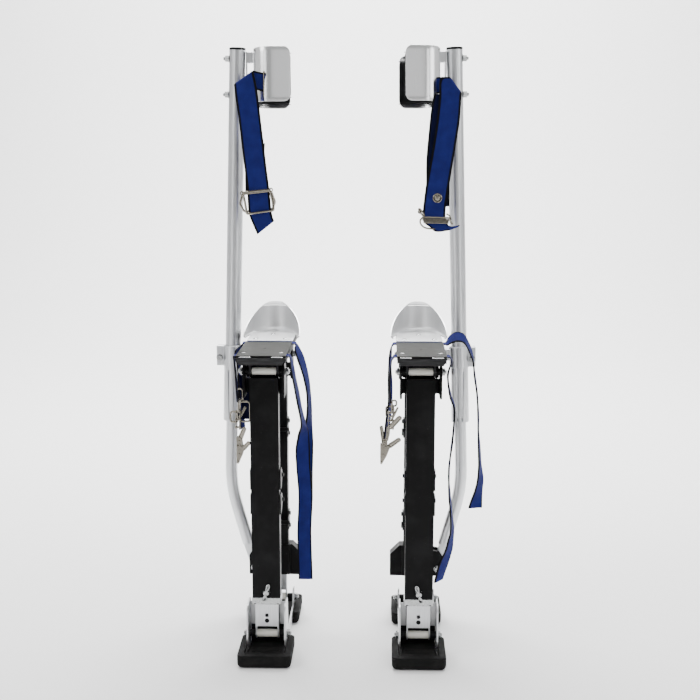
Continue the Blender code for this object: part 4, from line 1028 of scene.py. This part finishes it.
def pole():
    put(bent_tube(), "bent_tube", "rear_upper_leg", TUBE, ["lower_pole"])
    put(bolt_through(FOOT_BOLT_X, FOOT_BOLT_Z, FOOT_BOLT_PARTS), "pole_foot_bolt", "rear_upper_leg", ZINC)
    put(clamp(), "clamp_casting", "rear_upper_leg", TUBE, ["pole_clamp"])
    lug_x = pole_point((CLAMP_BOTTOM + CLAMP_TOP) / 2).x + 0.0265
    put(bolt_through(lug_x, CLAMP_BOLT_Z, CLAMP_BOLT_PARTS), "clamp_bolt", "rear_upper_leg", ZINC)
    tube, cap = upper_pole()
    put(tube, "pole_tube", "leg_pole", TUBE, ["upper_pole"])
    put(cap, "pole_cap", "leg_pole", CAP)
    bolts = []
    for z in ARM_BOLTS_Z:
        face = pole_point(z).x + POLE_RADIUS - 0.0006
        bolts.append(across(hexagon, REAR_Y, z, face, face + 0.0084, 0.0070))
        bolts.append(across(thread, REAR_Y, z, face + 0.0070, face + 0.0125, 0.0036))
    put(joined(*bolts), "arm_bolts", "leg_pole", ZINC)
    eased_node("calf_arm", 0.0007, "leg_pole", SHEET)


# ---------------------------------------------------------------- calf band and pad
EDGE_ROUNDING, EDGE_FLARE, EDGE_BEAD, FREE_END = 0.013, 0.0014, 0.006, 0.022
PAD_GAP, SWELL, SWELL_FRAMES = 0.0006, 0.0022, 20
BAND_RIVETS_Z = (1.116, 1.162)


def band_plan(depth, free, steps):
    """The plan at a depth inside the band, from one free end round the back to the other, as
    distances from the pole."""
    runs, corner = 5, BAND_CORNER - depth
    back, half_y = BAND_BACK + depth, BAND_HALF_Y - depth
    straight = [(-free + (free - back - corner) * i / runs, -half_y) for i in range(runs)]
    plan = straight + arc((-back - corner, -half_y + corner), corner, -90, 0, steps)
    plan += arc((-back - corner, half_y - corner), corner, 0, 90, steps)
    return plan + [(x, -y) for x, y in reversed(straight)]


def tilted(obj):
    pivot = pole_point(ARM_Z)
    turn = Matrix.Translation(pivot) @ Matrix.Rotation(-BAND_TILT, 4, "X") @ Matrix.Translation(-pivot)
    obj.data.transform(turn)
    return obj


def calf_shell():
    """The bent band: free ends with round corners and a small bead pressed along every edge."""
    plan = band_plan(0, BAND_FREE, 10)
    centre_x = pole_point(ARM_Z).x
    rows, levels = [], 24
    for i in range(levels + 1):
        z = BAND_BOTTOM + (BAND_TOP - BAND_BOTTOM) * (0.5 - 0.5 * math.cos(math.pi * i / levels))
        edge = min(z - BAND_BOTTOM, BAND_TOP - z, EDGE_ROUNDING)
        drawn_in = EDGE_ROUNDING - math.sqrt(EDGE_ROUNDING**2 - (EDGE_ROUNDING - edge) ** 2)
        flare = EDGE_FLARE * max(0.0, 1 - (z - BAND_BOTTOM) / EDGE_BEAD, 1 - (BAND_TOP - z) / EDGE_BEAD)
        row = []
        for x, y in plan:
            share = max(0.0, (-x - (BAND_FREE - FREE_END)) / FREE_END)
            outward = 1 if y > 0 else -1
            flared = y - outward * flare * min(1, abs(y) / BAND_HALF_Y)
            row.append((centre_x + x + drawn_in * share, REAR_Y + flared, z))
        rows.append(row)
    return tilted(sheet(rows, BAND_THICK))


def puffed(obj):
    """Swells a foam piece with a short cloth simulation, and limits how far a point may move."""
    rest = [vert.co.copy() for vert in obj.data.vertices]
    cloth = obj.modifiers.new("cloth", "CLOTH")
    cloth.settings.use_pressure = True
    cloth.settings.uniform_pressure_force = 4.0
    cloth.settings.effector_weights.gravity = 0
    cloth.point_cache.frame_start, cloth.point_cache.frame_end = 1, SWELL_FRAMES
    for number in range(1, SWELL_FRAMES + 1):
        bpy.context.scene.frame_set(number)
    made = baked(obj)
    bpy.context.scene.frame_set(1)
    for vert, start in zip(made.data.vertices, rest):
        move = vert.co - start
        if move.length > SWELL:
            vert.co = start + move * (SWELL / move.length)
    return made


def foam_pad():
    """The pad inside the band: a thick foam strip with a knit skin, pinched in at its edges."""
    inset = BAND_THICK / 2 + PAD_GAP + SWELL * 0.6
    free = BAND_FREE + 0.0030
    outer, inner = band_plan(inset, free, 12), band_plan(inset + PAD_THICK - SWELL, free, 12)
    centre_x = pole_point(ARM_Z).x
    outline = [(centre_x + x, REAR_Y + y) for x, y in outer + inner[::-1]]
    pad = plate(outline, "Z", PAD_BOTTOM + 0.001, PAD_BOTTOM + PAD_HEIGHT - 0.001, 0.0028)
    remesh = pad.modifiers.new("remesh", "REMESH")
    remesh.mode, remesh.voxel_size = "VOXEL", 0.0032
    pad = baked(pad)
    pad = puffed(pad)
    soft = pad.modifiers.new("soft", "SUBSURF")
    soft.levels = soft.render_levels = 1
    relax = pad.modifiers.new("relax", "SMOOTH")
    relax.factor, relax.iterations = 0.5, 4
    return tilted(baked(pad))


def pad_seam():
    """The stitched binding along the pad's upper and lower inner edges."""
    plan = band_plan(BAND_THICK / 2 + PAD_GAP + PAD_THICK * 0.5, BAND_FREE + 0.0020, 12)
    centre_x = pole_point(ARM_Z).x
    return tilted(joined(*(wire([(centre_x + x, REAR_Y + y, z) for x, y in plan], 0.0009, steps=1)
                           for z in (PAD_BOTTOM + 0.0002, PAD_BOTTOM + PAD_HEIGHT - 0.0002))))


def calf_rest():
    put(calf_shell(), "calf_shell", "calf_rest", POLISHED, ["calf_band"], sharp=50)
    for piece in put(foam_pad(), "calf_cushion", "calf_rest", PAD, ["calf_pad"], sharp=180):
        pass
    put(pad_seam(), "calf_cushion_seam", "calf_rest", PAD, sharp=180)
    face = pole_point(ARM_Z).x - BAND_BACK - BAND_THICK / 2
    rivets = domes([(0, 4.2), (0.6, 4), (1.2, 2.6), (1.4, 1)], [(face, REAR_Y, z) for z in BAND_RIVETS_Z],
                   (-1, 0, 0), 24)
    put(tilted(rivets), "band_rivets", "calf_rest", ZINC)


# ---------------------------------------------------------------- webbing
def webbing(rows):
    """A woven strap through rows that hold its two edge points, with a web attribute that holds the
    place across it, the place along it and its half width."""
    route = smooth(rows, 6)
    columns, cup, ripple_height = 10, 0.0004, 0.00035
    bm = bmesh.new()
    layer = bm.verts.layers.float_vector.new("web")
    loops, run, last_middle = [], 0.0, None
    for i, row in enumerate(route):
        left, right = Vector(row[:3]), Vector(row[3:])
        centre = (left + right) / 2
        if last_middle is not None:
            run += (centre - last_middle).length
        last_middle = centre
        before, after = route[max(i - 1, 0)], route[min(i + 1, len(route) - 1)]
        ahead = (Vector(after[:3]) + Vector(after[3:]) - Vector(before[:3]) - Vector(before[3:])) / 2
        wide = right - left
        normal = ahead.cross(wide).normalized()
        half = wide.length / 2
        free = min(abs(centre.z - PAN_TOP) / 0.03, 1)   # 0 where the plates hold the strap flat
        full = WEB_THICK + (WEB_EDGE_THICK - WEB_THICK) * free
        top, bottom = [], []
        for k in range(columns + 1):
            share = 2 * k / columns - 1
            thick = full * (0.42 if abs(share) == 1 else 0.55)
            ripple = ripple_height * math.sin(run * 90 + share * 1.7)
            at = centre + wide * (share / 2) + normal * free * (cup * (1 - share**2) + ripple)
            for side, verts in ((1, top), (-1, bottom)):
                vert = bm.verts.new(at + normal * thick * side)
                vert[layer] = (share * half, run, half)
                verts.append(vert)
        loops.append(top + bottom[::-1])
    skin(bm, loops)
    bm.faces.new(loops[0])
    bm.faces.new(reversed(loops[-1]))
    bmesh.ops.recalc_face_normals(bm, faces=bm.faces)
    return new_object(bm)


def strap_rows(points):
    """Edge points from a route of (x, y, z, turn, rise), in millimetres and degrees. At turn 0 the
    width lies along X and at 90 along Y; rise lifts its far edge."""
    rows = []
    for x, y, z, turn, *rest in points:
        turn, rise = math.radians(turn), math.radians(rest[0] if rest else 0)
        across = FOOT_WEB_HALF * Vector(
            (math.cos(turn) * math.cos(rise), math.sin(turn) * math.cos(rise), math.sin(rise)))
        centre = Vector(mm(x, y, z))
        rows.append((*(centre - across), *(centre + across)))
    return rows


def crossing(sign, y):
    """Where a foot strap lies between the pan and the plates, from one edge to the other."""
    x, z = sign * 1000 * STILT_X, 1000 * (PAN_TOP + 0.0003 + WEB_THICK / 2)
    return [(x + step, y, z, 90) for step in (-49, -20, 20, 49)]


STILT_X = (CENTRE["left"].x - CENTRE["right"].x) / 2
# Foot straps: the side and the place along Y where one crosses the pan, its route before the pan and
# its route after it, in millimetres and degrees
FOOT_STRAPS = {
    "right_toe_strap": (-1, -138, [
        (-198.5, -128, 520, 97), (-199.5, -133, 560, 97), (-201.5, -137, 598, 94), (-201.5, -138, 607, 90)], [
        (-96.5, -138, 607, 90), (-94.5, -137, 598, 86), (-92, -130, 575, 82), (-86, -118, 536, 83),
        (-81, -110, 503, 82), (-76, -97, 469, 78), (-76.5, -88, 447, 50), (-78.5, -80, 416, 15),
        (-78, -78, 383, 5), (-74, -74, 317, 0), (-77, -70, 250, 0), (-77, -70, 225, 0), (-75, -70, 143, 0)]),
    "right_ankle_strap": (-1, 2, [
        (-204, -20, 440, 74), (-206, -15, 500, 84), (-210, -8, 560, 88), (-211, -3, 592, 64),
        (-203.5, 2, 607, 90)], [
        (-96.5, 2, 607, 90), (-94.5, 0, 600, 76), (-86, -10, 580, 66), (-76, -20, 549, 75),
        (-70, -30, 518, 77), (-68, -38, 487, 77), (-69, -44, 456, 66), (-73, -46, 423, 30),
        (-74, -47, 395, 5), (-75, -48, 350, 0), (-75, -50, 300, 0)]),
    "left_toe_strap": (1, -138, [
        (92, -128, 520, 88), (91, -133, 560, 88), (93, -137, 598, 90), (96.5, -138, 607, 90)], [
        (203.5, -138, 607, 90), (205.5, -137, 598, 84), (199, -132, 572, 86), (205, -120, 532, 86),
        (214, -112, 501, 86), (211.5, -103, 440, 86), (206.5, -98, 390, 86), (206, -95, 362, 86),
        (208, -95, 328, 84), (212, -95, 288, 80), (214, -95, 257, 75), (211.5, -95, 237, 64),
        (208, -95, 216, 54), (201, -95, 195, 47), (195, -95, 175, 47), (189, -95, 152, 50)]),
    "left_ankle_strap": (1, 2, [
        (83, -24, 424, 74), (87, -21, 450, 72), (92, -15, 500, 74), (91, -5, 560, 78), (93, 2, 598, 84),
        (96.5, 2, 607, 90)], [
        (203, 3, 609.5, 90, 6), (208, 6, 615, 88, 26), (216, 8, 620.5, 86, 34), (226, 8, 623, 86, 34),
        (238, 8, 619, 84, 28), (247, 7, 605, 80, 14), (253, 4, 590, 78, 3), (256.5, 0, 575, 85),
        (259, -8, 550, 86), (264, -20, 510, 86), (266, -29, 475, 85), (266, -38, 444, 83),
        (268.5, -42, 405, 80), (270, -45, 375, 74), (271, -47, 345, 62), (268, -48, 324, 52),
        (264, -50, 304, 32), (262, -50, 288, 12)]),
}

# Calf straps, as rows of two edge points in millimetres. A strap leaves the band with its width
# upright, folds over on a diagonal and hangs in front of itself down to its buckle. Its tail comes
# out under the buckle. Then the strand behind it, darker with painted shade.
CALF_STRAPS = {
    "right": ([
        (-150, 43, 1100, -150, 43, 1136), (-166, 41, 1103, -163, 41, 1138),
        (-190, 37.5, 1109, -172, 38.5, 1140), (-211, 34.5, 1114, -176, 36.5, 1140.5),
        (-214.5, 31, 1113.5, -176.5, 33, 1140), (-214, 28, 1109, -176, 30, 1135),
        (-212, 26, 1088, -170, 27, 1106), (-206, 24, 1046, -163.5, 25, 1050),
        (-199, 21, 980, -156, 22, 984), (-193, 18, 930, -150, 18, 934), (-190.5, 16, 905, -147, 16, 911),
        (-189, 15, 872, -144, 15, 876), (-185, 15, 856, -142, 15, 862),
        (-172, 16.5, 824.5, -138.5, 16.5, 851)], [
        (-196, 29, 1000, -156, 29, 1002), (-196, 27.5, 970, -157, 27.5, 974),
        (-195.5, 24, 935, -153, 24, 940), (-195, 20, 908, -150, 20, 914)]),
    "left": ([
        (158, 43, 1096, 158, 43, 1127), (176, 41, 1097, 182, 41, 1128.5),
        (200, 37.5, 1097, 196, 38.5, 1128.5), (222, 34.5, 1098, 201.5, 36.5, 1128),
        (226.5, 31, 1096.5, 202, 33, 1127.5), (226.5, 28, 1092, 185, 30, 1124),
        (225.5, 26, 1075, 183.5, 27, 1090), (223, 24, 1040, 179, 25, 1042), (214, 21, 980, 170, 22, 980),
        (205.5, 18, 925, 160, 18, 924), (201, 16, 895, 156, 16, 893), (198.5, 15, 872, 153.5, 15, 868),
        (199, 14, 855, 154.5, 14, 851), (204.5, 10, 843.5, 168, 11, 840), (212, 7, 841, 180, 5, 832),
        (226, 5, 844, 203, 2, 834.5)], [
        (207, 29, 1094, 176, 29.5, 1096), (206.5, 30, 1080, 171.5, 30, 1083),
        (206, 30, 1060, 168, 30, 1064), (206, 29, 1020, 164, 29, 1022), (205, 27, 970, 160, 27, 970),
        (206, 24, 920, 160, 24, 920), (206, 20.5, 880, 159, 20.5, 878)]),
}
KEEPER_HEIGHTS = (548, 525, 500, 478, 458)


def hang(rows, name, body, look=WEBBING, replaced=()):
    put_pair(webbing(rows), name, body, look, replaced, sharp=60)


def straps():
    for name, (sign, y, before, after) in FOOT_STRAPS.items():
        side = name.split("_")[0]
        hang(strap_rows(before + crossing(sign, y) + after), f"{name}_webbing", f"{side}_platform",
             replaced=[name])
    for side, (front, back) in CALF_STRAPS.items():
        body = f"{side}_calf_rest"
        hang([mm(*row) for row in front], f"{side}_calf_webbing", body, replaced=[f"{side}_calf_strap"])
        # The strand behind wears the darkened webbing: painted shade.
        hang([mm(*row) for row in back], f"{side}_calf_webbing_back", body, WEBBING_PAINTED_SHADE)
    keeper = [mm(-212.5, -16, z, -187.5, -16, z) for z in KEEPER_HEIGHTS]
    # The keeper wears the darkened webbing too: painted shade.
    hang(keeper, "right_ankle_strap_keeper", "right_platform", WEBBING_PAINTED_SHADE)


# ---------------------------------------------------------------- buckles
EYE_WIRE = 0.0012


def frame_loop(corners, radius, round_by=0.0035):
    """A closed wire loop through its corners, each rounded by a short arc."""
    corners = [Vector(corner) for corner in corners]
    rounded = []
    for i, at in enumerate(corners):
        ends = []
        for other in (corners[i - 1], corners[(i + 1) % len(corners)]):
            reach = min(round_by, (other - at).length * 0.45)
            ends.append(at + (other - at).normalized() * reach)
        for t in (0, 0.2, 0.4, 0.6, 0.8, 1):
            rounded.append(tuple(ends[0] * (1 - t) ** 2 + at * 2 * t * (1 - t) + ends[1] * t**2))
    return wire(rounded, radius, True, 1)


def eye(place, radius=0.0034):
    """A small eye where a wire end is curled round its bar, facing the front."""
    return turned(arc((0, radius), EYE_WIRE, 90, -234, 9), place, (0, 1, 0), 28, closed=True)


def right_calf_buckle():
    """A bar with curled ends, a loop before the strap, a loop behind it and a short hook."""
    top, foot, back_top, back_foot = 11.2, 10.5, 19.5, 21.5
    return joined(
        wire(route((-200.5, top, 906.5), (-172, top, 909.5), (-144, top, 912.5)), 0.0025, steps=2),
        eye(mm(-200.5, top, 905.5)), eye(mm(-144, top, 912)),
        frame_loop(route((-198.5, top, 904), (-194.5, foot, 885), (-191.5, foot, 865),
                         (-138.5, foot, 872), (-140, foot, 888), (-145, top, 910)), 0.0024),
        frame_loop(route((-200, back_top, 904), (-206, back_foot, 884), (-197.5, back_foot, 869),
                         (-142, back_foot, 874), (-136.5, back_foot, 888), (-144, back_top, 909)), 0.0023),
        wire(route((-143, 11, 906), (-139.5, 10, 898), (-137.2, 11, 895)), 0.0016))


def left_calf_buckle():
    """A pressed plate with a bar over it, a small loop with an eye, a long hook and two short ones."""
    y = 8.8
    outline = route((155, 847.5), (204.5, 846.5), (205, 856), (154.5, 857.5))
    return joined(
        plate(outline, "Y", y / 1000 - 0.0014, y / 1000 + 0.0014, 0.0011),
        rod(mm(154.5, 11.2, 859), mm(205.5, 11.2, 858), 0.0019),
        frame_loop(route((155.5, y, 860), (147.5, y, 870), (145, 10, 876.5), (150, 12, 874),
                         (157, 11, 864)), 0.0018),
        eye(mm(147.8, y, 870), 0.0030),
        wire(route((153, y, 859), (149, y, 853), (150, y, 846), (157, y, 839.5), (168, y, 837),
                   (179, y, 836.2)), 0.0018),
        wire(route((203.5, y, 859), (207.5, y, 852), (212.5, y, 845.5)), 0.0019),
        wire(route((200, 12, 866), (206, 11, 862), (209, 10.5, 854)), 0.0016))


def rivet_button(place):
    """A round snap rivet, its rim rolled and its middle domed."""
    profile = [(0, 8.8), (0.8, 9.4), (1.8, 9.2), (2.4, 8.2), (2.2, 6.8), (1.2, 5.8), (1.2, 5.2), (2.2, 4),
               (2.8, 2.4), (2.9, 0.8)]
    return domes(profile, [place], (0, -1, 0), 48)


# The parts of a spring clip, with every length in millimetres
def ring(x_low, x_high, z_low, z_high, y, radius, round_by=5):
    """A rectangular wire ring that faces the front."""
    corners = route((x_low, y, z_low), (x_high, y, z_low), (x_high, y, z_high), (x_low, y, z_high))
    return frame_loop(corners, radius / 1000, round_by / 1000)


def lever(x, y, z, end_x, end_y, end_z, half):
    """A thumb lever: a narrow tongue with a rolled rim."""
    start, end = Vector(mm(x, y, z)), Vector(mm(end_x, end_y, end_z))
    half /= 1000
    side = (end - start).normalized().cross(Vector((0, 1, 0))).normalized() * half
    corners = [start + side, end + side * 0.8, end - side * 0.8, start - side]
    tongue = sheet([(start + side * 0.9, end + side * 0.6), (start - side * 0.9, end - side * 0.6)], 0.0010)
    return joined(frame_loop(corners, 0.0016, half * 0.9), tongue)


def clip_body(top_x, top_z, bottom_x, bottom_z, half_top, half_bottom, y=-24):
    """Two tapered cheeks joined by cross bars."""
    top, bottom = Vector(mm(top_x, 0, top_z)), Vector(mm(bottom_x, 0, bottom_z))
    half_top, half_bottom, y = mm(half_top, half_bottom, y)
    side = (bottom - top).normalized().cross(Vector((0, 1, 0))).normalized()
    waist, half_waist = (top + bottom) / 2, half_top + half_bottom
    corners = [top - side * half_top, top + side * half_top, waist + side * half_waist * 0.62,
               bottom + side * half_bottom, bottom - side * half_bottom, waist - side * half_waist * 0.52]
    outline = [(c.x, c.z) for c in corners]
    parts = [plate(outline, "Y", y + shift - 0.0007, y + shift + 0.0007, 0.0004)
             for shift in (-0.0042, 0.0042)]
    for share in (0.08, 0.5, 0.9):
        at = top + (bottom - top) * share
        parts.append(rod((at.x, y - 0.0062, at.z), (at.x, y + 0.0062, at.z), 0.0021))
    return joined(*parts)


# Each ankle strap's spring clips: rings on the webbing, then bodies, then thumb levers
ANKLE_CLIPS = {
    "right": (
        [(-212.5, -201, 499, 521.5, -26, 1.9), (-207, -187, 456, 496, -28, 2.1),
         (-226, -211.5, 454, 475, -26, 2.0)],
        [(-211, 424, -208, 406, 3.8, 5.8), (-206, 407, -213, 369, 8.5, 2.2)],
        [(-208.5, -26, 418, -197.5, -33, 444, 3.6), (-203, -26, 398, -188, -36, 415, 3.4)]),
    "left": (
        [(95.5, 104.5, 489, 500, -26, 1.8), (84, 99, 468, 488, -26, 1.8)],
        [(88, 448, 85, 418, 5.0, 3.4), (83, 418, 80, 408, 3.6, 6.2), (83, 409, 74.5, 370, 10.5, 1.8)],
        [(91.5, -26, 444, 112.5, -36, 469, 4.0), (90, -26, 406, 111.5, -36, 424, 3.6),
         (80, -26, 410, 74.5, -30, 448, 2.6)]),
}
TOE_CLIP_X = {"right": -198, "left": 92}
LINK_X = 158.5


def toe_clip(x):
    """The toe strap's clip, which hangs edge-on to the front."""
    clip = joined(ring(x - 9, x + 9, 500, 522, -131, 1.3, 3.5), clip_body(x, 502, x - 4, 466, 5.5, 2.5, -129),
                  lever(x, -131, 486, x + 12, -141, 506, 3.4))
    hinge = Vector(mm(x, -128, 0))
    clip.data.transform(Matrix.Translation(hinge) @ Matrix.Rotation(math.radians(86), 4, "Z")
                        @ Matrix.Translation(-hinge))
    return clip


def buckles():
    for side, made in (("right", right_calf_buckle()), ("left", left_calf_buckle())):
        put_pair(made, f"{side}_calf_wire_buckle", f"{side}_calf_rest", NICKEL, [f"{side}_calf_buckle"])
    put_pair(rivet_button(mm(182, 14, 896.5)), "left_calf_rivet", "left_calf_rest", NICKEL)
    for side, (rings, bodies, levers) in ANKLE_CLIPS.items():
        parts = [ring(*values) for values in rings] + [clip_body(*values) for values in bodies]
        parts += [lever(*values) for values in levers]
        put_pair(joined(*parts), f"{side}_ankle_clips", f"{side}_platform", NICKEL, [f"{side}_foot_buckle"])
    for side, sign in SIDES.items():
        put_pair(toe_clip(TOE_CLIP_X[side]), f"{side}_toe_clip", f"{side}_platform", NICKEL)
        x = sign * LINK_X
        link = frame_loop(route((x, 40, 1090), (x, 47, 1090), (x, 47, 1140), (x, 40, 1140)), 0.0013)
        put_pair(link, f"{side}_strap_link", f"{side}_calf_rest", NICKEL)


# ---------------------------------------------------------------- the whole pair
studio()
feet()
pivots()
struts()
platform()
heel()
pole()
calf_rest()
straps()
buckles()
